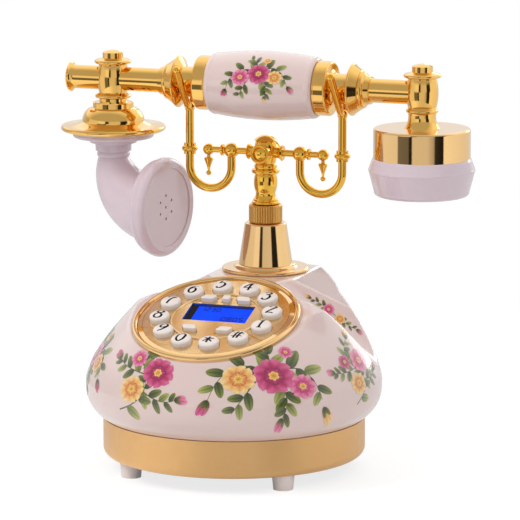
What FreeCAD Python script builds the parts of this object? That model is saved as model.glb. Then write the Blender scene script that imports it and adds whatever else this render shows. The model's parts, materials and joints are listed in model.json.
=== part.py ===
import FreeCAD, Part
import math
import os
from types import SimpleNamespace

import Sketcher

# Ornate push-button desk telephone: a round body on a plinth, a slanted dial, a plunger cradle with two hooks
# and a long handset with a horn mouthpiece. Millimetres, +Z up. The origin is on the desk, under the axis of
# the round body. The dial faces -Y, the handset lies along X with its ear end at +X.

# Driving dimensions

SIZES = {
    # feet and plinth
    "foot_height": 9.7,
    "foot_radius": 7.2,
    "foot_tip_radius": 6.2,
    "foot_inset": 11.6,
    "plinth_radius": 83.2,
    "plinth_height": 24.2,
    "plinth_wall": 5.2,
    "plinth_round": 4.6,
    "cover_thickness": 3.0,
    # body shell
    "seam_step": 0.6,
    "bulge_radius": 94.0,
    "bulge_rise": 23.1,
    "deck_rise": 71.0,
    "deck_half_width": 64.0,
    "platform_rise": 82.8,
    "platform_half_width": 44.0,
    "platform_front": 8.0,
    "platform_rear": 90.0,
    "shell_wall": 4.6,
    "front_inset": 2.0,
    "front_root_step": 6.0,
    "front_root_drop": 10.0,
    "cove_radius": 16.0,
    "cove_start_across": 17.6,
    "cove_start_back": 8.6,
    "cove_start_rise": 17.2,
    "cove_bend_outset": 11.2,
    "cove_bend_back": 8.4,
    "cove_bend_rise": 2.2,
    "cove_end_outset": 6.2,
    "cove_end_back": 50.1,
    "cove_end_rise": 5.8,
    # dial
    "dial_tilt": 18.8,
    "dial_forward": 33.2,
    "dial_height": 102.4,
    "dial_radius": 52.7,
    "bezel_width": 6.2,
    "bezel_height": 3.4,
    "plate_thickness": 2.0,
    "bead_height": 0.9,
    "dial_gap": 0.15,
    "post_radius": 2.0,
    # keys
    "key_radius": 6.5,
    "key_edge_margin": 4.25,
    "key_ring_margin": 0.7,
    "key_height": 4.5,
    "key_round": 1.6,
    "key_crown": 0.8,
    "key_travel": 2.0,
    "key_gap": 0.35,
    "key_flange": 0.9,
    "key_flange_thickness": 1.1,
    "key_stem_radius": 3.0,
    "first_key_angle": -18.0,
    "function_key_height": 2.8,
    "function_key_length": 8.8,
    "function_key_depth": 5.0,
    "function_key_lean": 1.4,
    "function_key_spacing": 11.5,
    "function_stem_radius": 2.1,
    "middle_key_length": 5.2,
    "middle_key_rise": 0.8,
    "upper_row_gap": 1.4,
    "lower_row_gap": 8.3,
    # display and keypad electronics
    "display_side_margin": 7.4,
    "display_end_margin": 17.9,
    "display_back": 5.0,
    "display_border": 1.2,
    "display_recess": 0.9,
    "mat_thickness": 3.8,
    "board_thickness": 1.6,
    # electronics in the plinth
    "board_width": 96.0,
    "board_depth": 62.0,
    "board_post_height": 5.0,
    "ringer_radius": 17.0,
    "ringer_height": 9.0,
    "jack_width": 13.0,
    "jack_height": 12.0,
    "jack_depth": 15.0,
    "jack_wall": 1.6,
    "jack_spacing": 30.0,
    # pedestal and plunger
    "pedestal_back": 60.0,
    "flange_radius": 28.2,
    "flange_thickness": 2.5,
    "cone_foot_radius": 17.4,
    "cone_top_radius": 13.0,
    "cone_height": 28.5,
    "collar_radius": 10.8,
    "collar_height": 11.9,
    "stem_radius": 4.2,
    "running_gap": 0.08,
    "plunger_travel": 4.0,
    "clip_radius": 7.0,
    "clip_thickness": 1.2,
    "stem_reach": 24.0,
    # cradle
    "column_height": 33.4,
    "column_ring_radius": 9.0,
    "column_waist_radius": 6.3,
    "column_bulb_radius": 7.6,
    "hub_radius": 7.4,
    "hub_half_depth": 12.3,
    "hub_boss_radius": 6.3,
    "hub_socket_reach": 12.0,
    "hub_cap_height": 11.2,
    "arm_radius": 2.2,
    "arm_root": 4.0,
    "ball_offset": 23.3,
    "ball_radius": 4.9,
    "pendant_offset": 38.9,
    "pendant_ball_radius": 3.75,
    "pendant_length": 13.2,
    "pendant_drop_radius": 1.7,
    "hook_radius": 2.65,
    "hook_drop": 11.0,
    "hook_bend_radius": 14.3,
    "hook_collar_radius": 5.15,
    "fork_rise": 23.0,
    "fork_half_angle": 38.0,
    "fork_prong_length": 39.0,
    "fork_bend_radius": 7.0,
    "prong_radius": 2.3,
    "knuckle_radius": 3.3,
    "seat_gap": 0.3,
    # handset
    "grip_half_length": 36.0,
    "grip_radius": 22.15,
    "grip_end_radius": 18.2,
    "neck_collar_radius": 17.5,
    "neck_collar_length": 9.3,
    "neck_groove_radius": 9.8,
    "bell_radius": 16.7,
    "bell_step_radius": 11.75,
    "bell_end_radius": 9.3,
    "bell_length": 16.0,
    "tube_radius": 7.6,
    "fit_gap": 0.05,
    "end_offset": 105.0,
    "mouth_tail": 29.7,
    "tail_flare_radius": 9.65,
    "socket_radius": 5.6,
    "socket_depth": 14.0,
    "fitting_radius": 10.3,
    "fitting_half_height": 9.2,
    "brim_radius": 12.0,
    "finial_radius": 6.65,
    "finial_height": 18.6,
    "fitting_neck_radius": 9.0,
    # mouthpiece
    "dome_drop": 15.2,
    "dome_radius": 20.2,
    "dome_disc_radius": 13.2,
    "brim_drop": 33.4,
    "mouth_brim_radius": 34.0,
    "horn_step_radius": 26.3,
    "horn_neck_radius": 10.2,
    "horn_start_drop": 51.0,
    "horn_bend_radius": 30.4,
    "horn_reach": 42.0,
    "horn_turn": 12.0,
    "horn_back_radius": 24.5,
    "horn_rim_radius": 32.25,
    "horn_rim_depth": 12.5,
    "grille_radius": 25.5,
    "grille_thickness": 3.0,
    "grille_hole_radius": 1.0,
    "grille_hole_circle": 7.6,
    # earpiece
    "cup_drop": 22.4,
    "cup_radius": 30.9,
    "cup_height": 19.0,
    "cap_radius": 34.0,
    "cap_height": 24.0,
    "cap_mouth_radius": 30.2,
    "cap_dish": 2.5,
}

KEY_NAMES = ["1", "2", "3", "4", "5", "6", "7", "8", "9", "0", "star", "hash"]

doc = FreeCAD.newDocument("telephone")


# Sizes that carry their sheet formula along

class Size:
    """A length that knows its number and the sheet formula it comes from."""

    def __init__(self, number, formula):
        self.number = number
        self.formula = formula

    def __add__(self, other):
        return join(self, "+", other)

    def __radd__(self, other):
        return join(other, "+", self)

    def __sub__(self, other):
        return join(self, "-", other)

    def __rsub__(self, other):
        return join(other, "-", self)

    def __mul__(self, other):
        return join(self, "*", other)

    def __rmul__(self, other):
        return join(other, "*", self)

    def __truediv__(self, other):
        return join(self, "/", other)

    def __neg__(self):
        return join(0, "-", self)


def number(size):
    """The plain number of a size, or of a number."""
    if isinstance(size, Size):
        return size.number
    return float(size)


def formula(size):
    """The sheet formula of a size, or a number as text."""
    if isinstance(size, Size):
        return size.formula
    return repr(float(size))


def join(left, sign, right):
    """Two sizes joined by + - * or /, as a new size."""
    a = number(left)
    b = number(right)
    results = {"+": a + b, "-": a - b, "*": a * b}
    result = a / b if sign == "/" else results[sign]
    return Size(result, f"({formula(left)} {sign} {formula(right)})")


def make_sheet():
    """Write the driving dimensions into a sheet and hand them back as sizes."""
    sheet = doc.addObject("Spreadsheet::Sheet", "Sizes")
    for row, (name, value) in enumerate(SIZES.items(), start=1):
        sheet.set(f"A{row}", name)
        sheet.set(f"B{row}", str(value))
        sheet.setAlias(f"B{row}", name)
    doc.recompute()
    return SimpleNamespace(**{name: Size(float(sheet.get(name)), f"Sizes.{name}") for name in SIZES})


s = make_sheet()

# Heights and places that several pieces share

seam_height = s.foot_height + s.plinth_height
platform_height = seam_height + s.platform_rise
flange_top = platform_height + s.flange_thickness
cone_top = flange_top + s.cone_height
collar_top = cone_top + s.collar_height
column_foot = collar_top + s.seat_gap
arm_height = column_foot + s.column_height
hook_offset = s.ball_offset + 2 * s.hook_bend_radius
fork_height = arm_height + s.fork_rise
fork_angle = math.radians(number(s.fork_half_angle))
fork_seat = (s.neck_groove_radius + s.seat_gap + s.prong_radius) / math.sin(fork_angle)
handset_height = fork_height + fork_seat
plunger_foot = platform_height - s.stem_reach

upright = FreeCAD.Rotation()
along_right = FreeCAD.Rotation(FreeCAD.Vector(0, 1, 0), 90)
along_left = FreeCAD.Rotation(FreeCAD.Vector(0, 1, 0), -90)
half_turn = FreeCAD.Rotation(FreeCAD.Vector(0, 0, 1), 180)
dial_rotation = FreeCAD.Rotation(FreeCAD.Vector(1, 0, 0), number(s.dial_tilt))


def point(x, y, z):
    """A vector from three sizes."""
    return FreeCAD.Vector(number(x), number(y), number(z))


def on_dial(x, along, above):
    """The place of a point given across, up along and above the dial's plane."""
    centre = point(0, -s.dial_forward, s.dial_height)
    return centre + dial_rotation.multVec(point(x, along, above))


# Sketch helpers

def arc(middle, end):
    """An outline entry: an arc from the point before, through the middle, to the end."""
    return ("arc", middle, end)


def crown_middle(radius, foot, top):
    """A point on the round crown, centred on the axis, that runs from (radius, foot) to the axis at the top."""
    rise = top - foot
    across = 2 * radius * (radius * radius + rise * rise) / (4 * radius * radius + rise * rise)
    return (across, top - across * rise / (2 * radius))


def crown(radius, foot, top):
    """An outline entry: a round crown or dish from (radius, foot) to the axis at the top."""
    return arc(crown_middle(radius, foot, top), (0, top))


def pin(sketch, geometry, end, x, y):
    """Hold a sketch point at two coordinates from the sheet."""
    for axis, size, axis_line in (("DistanceX", x, -2), ("DistanceY", y, -1)):
        value = number(size)
        if abs(value) < 1e-9:
            sketch.addConstraint(Sketcher.Constraint("PointOnObject", geometry, end, axis_line))
            continue
        first = (-1, 1, geometry, end) if value > 0 else (geometry, end, -1, 1)
        index = sketch.addConstraint(Sketcher.Constraint(axis, *first, abs(value)))
        if isinstance(size, Size):
            sketch.setExpression(f"Constraints[{index}]", formula(size if value > 0 else -size))


def add_outline(sketch, outline, closed=True):
    """Draw lines and arcs through the outline's points, every point held by its sizes."""
    ends = [entry[2] if entry[0] == "arc" else entry for entry in outline]
    count = len(outline) if closed else len(outline) - 1
    pieces = []
    for i in range(count):
        here = ends[i]
        there = ends[(i + 1) % len(ends)]
        entry = outline[(i + 1) % len(outline)]
        start = point(*here, 0)
        stop = point(*there, 0)
        if entry[0] != "arc":
            pieces.append((sketch.addGeometry(Part.LineSegment(start, stop)), 1, 2))
            continue
        middle = point(*entry[1], 0)
        turn = (middle - start).cross(stop - middle).z
        bow = Part.Arc(start, middle, stop) if turn > 0 else Part.Arc(stop, middle, start)
        piece = sketch.addGeometry(bow)
        crown = sketch.addGeometry(Part.Point(middle), True)
        pin(sketch, crown, 1, *entry[1])
        sketch.addConstraint(Sketcher.Constraint("PointOnObject", crown, 1, piece))
        pieces.append((piece, 1, 2) if turn > 0 else (piece, 2, 1))
    for i, (piece, first, last) in enumerate(pieces):
        pin(sketch, piece, first, *ends[i])
        if closed or i + 1 < count:
            follower, follower_first, _ = pieces[(i + 1) % count]
            sketch.addConstraint(Sketcher.Constraint("Coincident", piece, last, follower, follower_first))
        else:
            pin(sketch, piece, last, *ends[-1])


def add_circle(sketch, radius, x=0, y=0):
    """A circle with its centre and radius held by sizes."""
    circle = sketch.addGeometry(Part.Circle(point(x, y, 0), FreeCAD.Vector(0, 0, 1), number(radius)))
    index = sketch.addConstraint(Sketcher.Constraint("Radius", circle, number(radius)))
    if isinstance(radius, Size):
        sketch.setExpression(f"Constraints[{index}]", formula(radius))
    pin(sketch, circle, 3, x, y)


def add_rectangle(sketch, width, depth, x=0, y=0):
    """A rectangle about a centre."""
    add_outline(sketch, [
        (x - width / 2, y - depth / 2),
        (x + width / 2, y - depth / 2),
        (x + width / 2, y + depth / 2),
        (x - width / 2, y + depth / 2),
    ])


def new_body(label):
    """An empty body with its label."""
    body = doc.addObject("PartDesign::Body", label)
    body.Label = label
    return body


def new_sketch(body, role="XY_Plane", height=0):
    """A sketch on one of the body's own planes, raised along the plane's normal."""
    sketch = body.newObject("Sketcher::SketchObject", body.Label + "_sketch")
    plane = next(f for f in body.Origin.OriginFeatures if f.Role == role)
    sketch.AttachmentSupport = [(plane, "")]
    sketch.MapMode = "FlatFace"
    sketch.AttachmentOffset = FreeCAD.Placement(FreeCAD.Vector(0, 0, number(height)), upright)
    if isinstance(height, Size):
        sketch.setExpression("AttachmentOffset.Base.z", formula(height))
    return sketch


def revolve(body, outline, role="XZ_Plane", axis="V_Axis"):
    """Turn an outline of (radius, height) points about the plane's upright axis."""
    sketch = new_sketch(body, role)
    add_outline(sketch, outline)
    turn = body.newObject("PartDesign::Revolution", body.Label + "_turn")
    turn.Profile = sketch
    turn.ReferenceAxis = (sketch, [axis])
    turn.Angle = 360
    return turn


def pad(body, sketch, length, kind="PartDesign::Pad", reverse=False):
    """Pad or pocket a sketch by a length."""
    feature = body.newObject(kind, body.Label + "_pad")
    feature.Profile = sketch
    feature.Length = number(length)
    if isinstance(length, Size):
        feature.setExpression("Length", formula(length))
    feature.Reversed = reverse
    return feature


def pocket(body, sketch, length, reverse=False):
    """Cut a sketch out of the body by a length."""
    return pad(body, sketch, length, "PartDesign::Pocket", reverse)


def pipe(body, role, path, radius, direction, height=0):
    """Carry a circle along a path of lines and arcs drawn on one of the body's planes, or level with it."""
    spine = new_sketch(body, role, height)
    add_outline(spine, path, closed=False)
    doc.recompute()
    start = spine.Placement.multVec(point(*path[0], 0))
    ring = body.newObject("Sketcher::SketchObject", body.Label + "_ring")
    ring.Placement = FreeCAD.Placement(start, FreeCAD.Rotation(FreeCAD.Vector(0, 0, 1), direction))
    add_circle(ring, radius)
    sweep = body.newObject("PartDesign::AdditivePipe", body.Label + "_sweep")
    sweep.Profile = ring
    sweep.Spine = spine
    return sweep


def around(body, feature, copies):
    """Repeat a feature round the body's upright axis."""
    pattern = body.newObject("PartDesign::PolarPattern", body.Label + "_pattern")
    axis = next(f for f in body.Origin.OriginFeatures if f.Role == "Z_Axis")
    pattern.Originals = [feature]
    pattern.Axis = (axis, [""])
    pattern.Angle = 360
    pattern.Occurrences = copies
    body.Tip = pattern
    return pattern


def turned(label, outline, place, rotation=upright):
    """A piece turned on a lathe, placed by its own origin."""
    body = new_body(label)
    revolve(body, outline)
    body.Placement = FreeCAD.Placement(place, rotation)
    return body


# Feet, plinth and bottom cover

plinth_inner = s.plinth_radius - s.plinth_wall
cover_radius = plinth_inner - s.fit_gap
cover_top = s.foot_height + s.cover_thickness
foot_circle_radius = s.plinth_radius - s.foot_inset
foot_names = ["foot_front_right", "foot_back_right", "foot_back_left", "foot_front_left"]


def make_feet():
    """Four tapered feet under the bottom cover."""
    for quarter, label in enumerate(foot_names):
        angle = math.radians(-45 + 90 * quarter)
        turned(label, [
            (0, 0),
            (s.foot_tip_radius, 0),
            (s.foot_radius, s.foot_height),
            (0, s.foot_height),
        ], point(foot_circle_radius * math.cos(angle), foot_circle_radius * math.sin(angle), 0))


def make_plinth():
    """A round band with a rounded lower edge and two jack openings at the back."""
    body = new_body("plinth")
    near = s.plinth_round * (1 - math.sqrt(0.5))
    revolve(body, [
        (plinth_inner, 0),
        (s.plinth_radius - s.plinth_round, 0),
        arc((s.plinth_radius - near, near), (s.plinth_radius, s.plinth_round)),
        (s.plinth_radius, s.plinth_height),
        (plinth_inner, s.plinth_height),
    ])
    sketch = new_sketch(body, "XZ_Plane")
    for side in (-1, 1):
        add_rectangle(sketch, s.jack_width, s.jack_height,
                      side * s.jack_spacing / 2, s.cover_thickness + s.jack_height / 2)
    pocket(body, sketch, s.plinth_radius + 1)
    body.Placement = FreeCAD.Placement(point(0, 0, s.foot_height), upright)


def make_bottom_cover():
    """A disc inside the plinth, with four posts for the main board."""
    body = new_body("bottom_cover")
    revolve(body, [
        (0, 0),
        (cover_radius, 0),
        (cover_radius, s.cover_thickness),
        (0, s.cover_thickness),
    ])
    sketch = new_sketch(body, "XY_Plane", s.cover_thickness)
    for x in (-1, 1):
        for y in (-1, 1):
            add_circle(sketch, s.post_radius * 1.5, x * (s.board_width / 2 - 6), y * (s.board_depth / 2 - 6))
    pad(body, sketch, s.board_post_height)
    body.Placement = FreeCAD.Placement(point(0, 0, s.foot_height), upright)


# Body shell

dome_power = 1.5
dome_steps = 5
front_steps = 3
shell_points = 40
seam_radius = s.plinth_radius - s.seam_step
bulge_height = seam_height + s.bulge_rise
deck_height = seam_height + s.deck_rise
bezel_foot = -(s.bezel_height - s.bead_height)
seat_radius = s.dial_radius + 1.2
well_radius = s.dial_radius - s.bezel_width - s.fit_gap


def shell_section(height, half_width, front, rear, squareness):
    """A closed, level curve: a rounded box between front and rear, more square as squareness grows."""
    centre = (rear + front) / 2
    half_depth = (rear - front) / 2
    places = []
    for i in range(shell_points):
        angle = 2 * math.pi * i / shell_points
        across = math.cos(angle)
        along = math.sin(angle)
        x = half_width * math.copysign(abs(across) ** (2 / squareness), across)
        y = half_depth * math.copysign(abs(along) ** (2 / squareness), along)
        places.append(FreeCAD.Vector(x, centre + y, height))
    curve = Part.BSplineCurve()
    curve.interpolate(Points=places, PeriodicFlag=True)
    return Part.Wire([curve.toShape()])


def shell_skirt():
    """The swelling from the seam to the bulge, then the flank up to the deck."""
    seam = number(seam_height)
    bulge = number(bulge_height)
    deck = number(deck_height)
    widest = number(s.bulge_radius)
    sections = []
    for step in range(3):
        share = step / 3
        radius = widest - (widest - number(seam_radius)) * (1 - share) ** 3
        sections.append(shell_section(seam + (bulge - seam) * share, radius, -radius, radius, 2))
    for step in range(dome_steps + 1):
        share = step / dome_steps
        half_width = widest - (widest - number(s.deck_half_width)) * share ** dome_power
        rear = widest - (widest - number(s.platform_rear)) * share
        sections.append(shell_section(bulge + (deck - bulge) * share, half_width, -half_width, rear, 2))
    return Part.makeLoft(sections, True, False)


def shell_cap():
    """The sloping top from the deck's edge to the platform under the pedestal."""
    half_width = number(s.deck_half_width)
    lower = shell_section(number(deck_height), half_width, -half_width, number(s.platform_rear), 2)
    upper = shell_section(number(platform_height), number(s.platform_half_width), number(s.platform_front),
                          number(s.platform_rear), 3)
    return Part.makeLoft([lower, upper], True, True)


def shell_front():
    """The front dome: circles that shrink, lean and move forward from the skirt to the dial's seat."""
    seat = on_dial(0, 0, bezel_foot)
    bulge = number(bulge_height)
    root_radius = number(s.bulge_radius - s.front_inset)
    foot_radius = number(s.bulge_radius - s.front_inset - s.front_root_step)
    foot = Part.makeCircle(foot_radius, point(0, 0, bulge_height - s.front_root_drop))
    sections = [Part.Wire([foot])]
    for step in range(front_steps + 1):
        share = step / front_steps
        eased = share ** dome_power
        radius = root_radius - (root_radius - number(seat_radius)) * eased
        centre = FreeCAD.Vector(0, seat.y * eased, bulge + (seat.z - bulge) * share)
        lean = math.radians(number(s.dial_tilt)) * share
        normal = FreeCAD.Vector(0, -math.sin(lean), math.cos(lean))
        sections.append(Part.Wire([Part.makeCircle(radius, centre, normal)]))
    return Part.makeLoft(sections, True, False)


def shell_cove(side):
    """The round cutter that hollows the crease between front dome and deck, bent over the deck's edge."""
    bend_across = s.deck_half_width + s.cove_bend_outset
    end_across = s.bulge_radius + s.cove_end_outset
    start = point(side * s.cove_start_across, s.cove_start_back, platform_height + s.cove_start_rise)
    bend = point(side * bend_across, s.cove_bend_back, deck_height + s.cove_bend_rise)
    end = point(side * end_across, s.cove_end_back, bulge_height + s.cove_end_rise)
    path = Part.Arc(start, bend, end).toShape()
    way = path.tangentAt(path.FirstParameter)
    section = Part.Face(Part.Wire([Part.makeCircle(number(s.cove_radius), start, way)]))
    return Part.Wire([path]).makePipe(section)


def make_body_shell():
    """The moulded housing: skirt, cap and front dome in one, coves, dial well and hollow inside."""
    solid = shell_skirt().fuse([shell_cap(), shell_front()])
    reach = number(2 * s.bulge_radius)
    above = Part.makeBox(reach, reach, reach, FreeCAD.Vector(-reach / 2, -reach / 2, 0))
    above.Placement = FreeCAD.Placement(on_dial(0, -s.dial_radius, bezel_foot), dial_rotation)
    limit = Part.makeBox(reach, reach, reach, FreeCAD.Vector(-reach / 2, -reach, 0))
    seat = Part.makeCylinder(number(s.dial_radius + s.seat_gap), reach / 4)
    seat.Placement = FreeCAD.Placement(on_dial(0, 0, bezel_foot), dial_rotation)
    well = Part.makeCylinder(number(well_radius), reach / 4, FreeCAD.Vector(0, 0, -reach / 4))
    well.Placement = FreeCAD.Placement(on_dial(0, 0, bezel_foot), dial_rotation)
    hollow = Part.makeCylinder(number(seam_radius - s.shell_wall), number(s.bulge_rise),
                               point(0, 0, seam_height))
    tower_height = number(platform_height - s.shell_wall - bulge_height)
    tower = Part.makeCylinder(number(s.flange_radius * 0.7), tower_height,
                              point(0, s.pedestal_back, bulge_height))
    bore = Part.makeCylinder(number(s.stem_radius + s.seat_gap), number(2 * s.shell_wall),
                             point(0, s.pedestal_back, platform_height - 2 * s.shell_wall))
    solid = solid.cut([above.common(limit), seat, shell_cove(-1), shell_cove(1), hollow, well, tower, bore])
    shell = doc.addObject("Part::Feature", "body_shell")
    shell.Label = "body_shell"
    shell.Shape = solid.Solids[0] if len(solid.Solids) == 1 else solid


# Dial

plate_radius = s.dial_radius - s.bezel_width - s.dial_gap
plate_foot = -s.plate_thickness
flange_head = plate_foot - s.dial_gap
flange_foot = flange_head - s.key_flange_thickness
mat_top = flange_foot - s.key_travel - s.seat_gap
mat_foot = mat_top - s.mat_thickness
key_foot = mat_foot + s.key_travel + s.seat_gap
post_circle_radius = plate_radius - s.post_radius - 1.5
mat_radius = plate_radius - 1.5
key_hole_radius = s.key_radius + s.key_gap
key_pitch = 360 / len(KEY_NAMES)
key_circle_radius = plate_radius - s.key_edge_margin - s.key_radius
ring_radius = key_circle_radius - s.key_radius - s.key_ring_margin
display_width = 2 * (ring_radius - s.display_side_margin)
display_depth = 2 * (ring_radius - s.display_end_margin)
frame_width = display_width + 2 * s.display_border
frame_depth = display_depth + 2 * s.display_border

across = s.function_key_spacing
upper_row = s.display_back + frame_depth / 2 + s.upper_row_gap + s.function_key_depth / 2
lower_row = s.display_back - frame_depth / 2 - s.lower_row_gap - s.function_key_depth / 2
lean = s.function_key_lean

FUNCTION_KEYS = {
    # name: centre across, centre along, length, lean of the ends
    "key_left_upper": (-across, upper_row, s.function_key_length, lean),
    "key_middle_upper": (0, upper_row + s.middle_key_rise, s.middle_key_length, 0),
    "key_right_upper": (across, upper_row, s.function_key_length, -lean),
    "key_left_lower": (-across, lower_row, s.function_key_length, -lean),
    "key_right_lower": (across, lower_row, s.function_key_length, lean),
}


def key_angle(index):
    """Angle of a number key on the dial, in radians, counted against the clock from the right."""
    return math.radians(number(s.first_key_angle) + key_pitch * index)


def post_places():
    """Centres of the four posts that carry the keypad board, between keys."""
    angles = [key_angle(0.5 + 3 * quarter) for quarter in range(4)]
    return [(post_circle_radius * math.cos(a), post_circle_radius * math.sin(a)) for a in angles]


def key_places():
    """Centres of the number keys."""
    angles = [key_angle(i) for i in range(len(KEY_NAMES))]
    return [(key_circle_radius * math.cos(a), key_circle_radius * math.sin(a)) for a in angles]


def function_outline(shape, margin):
    """The leaning four-sided outline of a function key, grown by a margin."""
    x, y, length, lean = shape
    long = length / 2 + margin
    deep = s.function_key_depth / 2 + margin
    return [
        (x - long - lean, y - deep),
        (x + long - lean, y - deep),
        (x + long + lean, y + deep),
        (x - long + lean, y + deep),
    ]


def make_dial_bezel():
    """The gold ring round the dial: an outer bead, a groove and an inner step."""
    inner = s.dial_radius - s.bezel_width
    bead = s.bezel_width * 0.22
    turned("dial_bezel", [
        (inner, 0),
        (s.dial_radius, 0),
        (s.dial_radius, s.bezel_height - 2 * bead),
        arc((s.dial_radius - bead, s.bezel_height), (s.dial_radius - 2 * bead, s.bezel_height - 2 * bead)),
        (s.dial_radius - 2.4 * bead, s.bezel_height - bead),
        (inner, s.bezel_height - s.bead_height),
    ], on_dial(0, 0, bezel_foot), dial_rotation)


def make_dial_plate():
    """The dial plate with its raised ring, key holes, display window and posts underneath."""
    body = new_body("dial_plate")
    half = s.bead_height * 0.9
    revolve(body, [
        (0, plate_foot),
        (plate_radius, plate_foot),
        (plate_radius, 0),
        (ring_radius + half, 0),
        arc((ring_radius, s.bead_height), (ring_radius - half, 0)),
        (0, 0),
    ])
    posts = new_sketch(body, "XY_Plane", mat_foot)
    for x, y in post_places():
        add_circle(posts, s.post_radius, x, y)
    pad(body, posts, plate_foot - mat_foot)
    rib = new_sketch(body, "XY_Plane", 0)
    angle = key_angle(-0.5)
    ray = (math.cos(angle), math.sin(angle))
    side = (-ray[1] * 0.6, ray[0] * 0.6)
    near = ring_radius + 2
    far = plate_radius - 0.5
    add_outline(rib, [
        (near * ray[0] - side[0], near * ray[1] - side[1]),
        (far * ray[0] - side[0], far * ray[1] - side[1]),
        (far * ray[0] + side[0], far * ray[1] + side[1]),
        (near * ray[0] + side[0], near * ray[1] + side[1]),
    ])
    pad(body, rib, s.bead_height)
    holes = new_sketch(body, "XY_Plane", s.bead_height)
    for x, y in key_places():
        add_circle(holes, key_hole_radius, x, y)
    for shape in FUNCTION_KEYS.values():
        add_outline(holes, function_outline(shape, s.key_gap))
    add_rectangle(holes, display_width, display_depth, 0, s.display_back)
    pocket(body, holes, s.plate_thickness + s.bead_height + 0.1)
    body.Placement = FreeCAD.Placement(on_dial(0, 0, 0), dial_rotation)


def make_number_keys():
    """Twelve round keys with a soft crown, a retaining flange and a stem."""
    shoulder = s.key_height - s.key_crown
    for name, (x, y) in zip(KEY_NAMES, key_places()):
        turned("key_" + name, [
            (0, key_foot),
            (s.key_stem_radius, key_foot),
            (s.key_stem_radius, flange_foot),
            (s.key_radius + s.key_flange, flange_foot),
            (s.key_radius + s.key_flange, flange_head),
            (s.key_radius, flange_head),
            (s.key_radius, shoulder - s.key_round),
            arc((s.key_radius - s.key_round * 0.3, shoulder - s.key_round * 0.3),
                (s.key_radius - s.key_round, shoulder)),
            crown(s.key_radius - s.key_round, shoulder, s.key_height),
        ], on_dial(x, y, 0), dial_rotation)


def make_function_keys():
    """Five small keys round the display, each with a flange and a stem."""
    for label, shape in FUNCTION_KEYS.items():
        body = new_body(label)
        lower = new_sketch(body, "XY_Plane", key_foot)
        add_circle(lower, s.function_stem_radius, shape[0], shape[1])
        pad(body, lower, flange_foot - key_foot)
        flange = new_sketch(body, "XY_Plane", flange_foot)
        add_outline(flange, function_outline(shape, s.key_flange * 0.8))
        pad(body, flange, s.key_flange_thickness)
        cap = new_sketch(body, "XY_Plane", flange_head)
        add_outline(cap, function_outline(shape, 0))
        top = pad(body, cap, s.function_key_height - flange_head)
        doc.recompute()
        corners = [name for name, edge in edges_of(body) if is_upright(edge, flange_head)]
        body_fillet(body, top, corners, 1.3)
        doc.recompute()
        crest_height = number(s.function_key_height) - 0.01
        crest = [name for name, edge in edges_of(body) if edge.BoundBox.ZMin > crest_height]
        body_fillet(body, body.Tip, crest, 0.8)
        body.Placement = FreeCAD.Placement(on_dial(0, 0, 0), dial_rotation)


def edges_of(body):
    """The body's edges with their names."""
    return [(f"Edge{i}", edge) for i, edge in enumerate(body.Shape.Edges, start=1)]


def is_upright(edge, foot):
    """Whether an edge stands upright on a given height."""
    box = edge.BoundBox
    upright_line = box.ZLength > 1 and box.XLength < 0.01 and box.YLength < 0.01
    return upright_line and abs(box.ZMin - number(foot)) < 0.01


def body_fillet(body, base, edges, radius):
    """Round the named edges of a body."""
    fillet = body.newObject("PartDesign::Fillet", body.Label + "_fillet")
    fillet.Base = (base, edges)
    fillet.Radius = number(radius)
    return fillet


def make_display():
    """A black frame standing on the board under the window, and the panel inside it."""
    frame = new_body("display_frame")
    sketch = new_sketch(frame, "XY_Plane", mat_foot)
    add_rectangle(sketch, frame_width, frame_depth, 0, s.display_back)
    pad(frame, sketch, plate_foot - s.dial_gap - mat_foot)
    opening = new_sketch(frame, "XY_Plane", mat_foot)
    add_rectangle(opening, display_width - s.display_border, display_depth - s.display_border,
                  0, s.display_back)
    pocket(frame, opening, plate_foot - mat_foot, reverse=True)
    frame.Placement = FreeCAD.Placement(on_dial(0, 0, 0), dial_rotation)
    panel = new_body("display_panel")
    face = new_sketch(panel, "XY_Plane", mat_foot)
    add_rectangle(face, display_width - s.display_border - 2 * s.fit_gap,
                  display_depth - s.display_border - 2 * s.fit_gap, 0, s.display_back)
    pad(panel, face, -s.display_recess - mat_foot)
    panel.Placement = FreeCAD.Placement(on_dial(0, 0, 0), dial_rotation)


def make_keypad():
    """The soft mat that the key stems go into, and the round board under it."""
    mat = new_body("keypad_mat")
    revolve(mat, [(0, mat_foot), (mat_radius, mat_foot), (mat_radius, mat_top), (0, mat_top)])
    holes = new_sketch(mat, "XY_Plane", mat_top)
    for x, y in key_places():
        add_circle(holes, s.key_stem_radius + s.key_gap, x, y)
    for x, y in post_places():
        add_circle(holes, s.post_radius + s.dial_gap, x, y)
    for shape in FUNCTION_KEYS.values():
        add_circle(holes, s.function_stem_radius + s.key_gap, shape[0], shape[1])
    add_rectangle(holes, frame_width + 2 * s.dial_gap, frame_depth + 2 * s.dial_gap, 0, s.display_back)
    pocket(mat, holes, s.mat_thickness + 0.1)
    mat.Placement = FreeCAD.Placement(on_dial(0, 0, 0), dial_rotation)
    board_foot = mat_foot - s.board_thickness
    turned("keypad_board", [
        (0, board_foot),
        (mat_radius, board_foot),
        (mat_radius, mat_foot),
        (0, mat_foot),
    ], on_dial(0, 0, 0), dial_rotation)


# Electronics in the plinth

def make_main_board():
    """The main circuit board on the posts of the bottom cover."""
    board = doc.addObject("Part::Box", "main_board")
    board.Label = "main_board"
    board.setExpression("Length", formula(s.board_width))
    board.setExpression("Width", formula(s.board_depth))
    board.setExpression("Height", formula(s.board_thickness))
    board.Placement = FreeCAD.Placement(
        point(-s.board_width / 2, -s.board_depth / 2, cover_top + s.board_post_height), upright)


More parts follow.
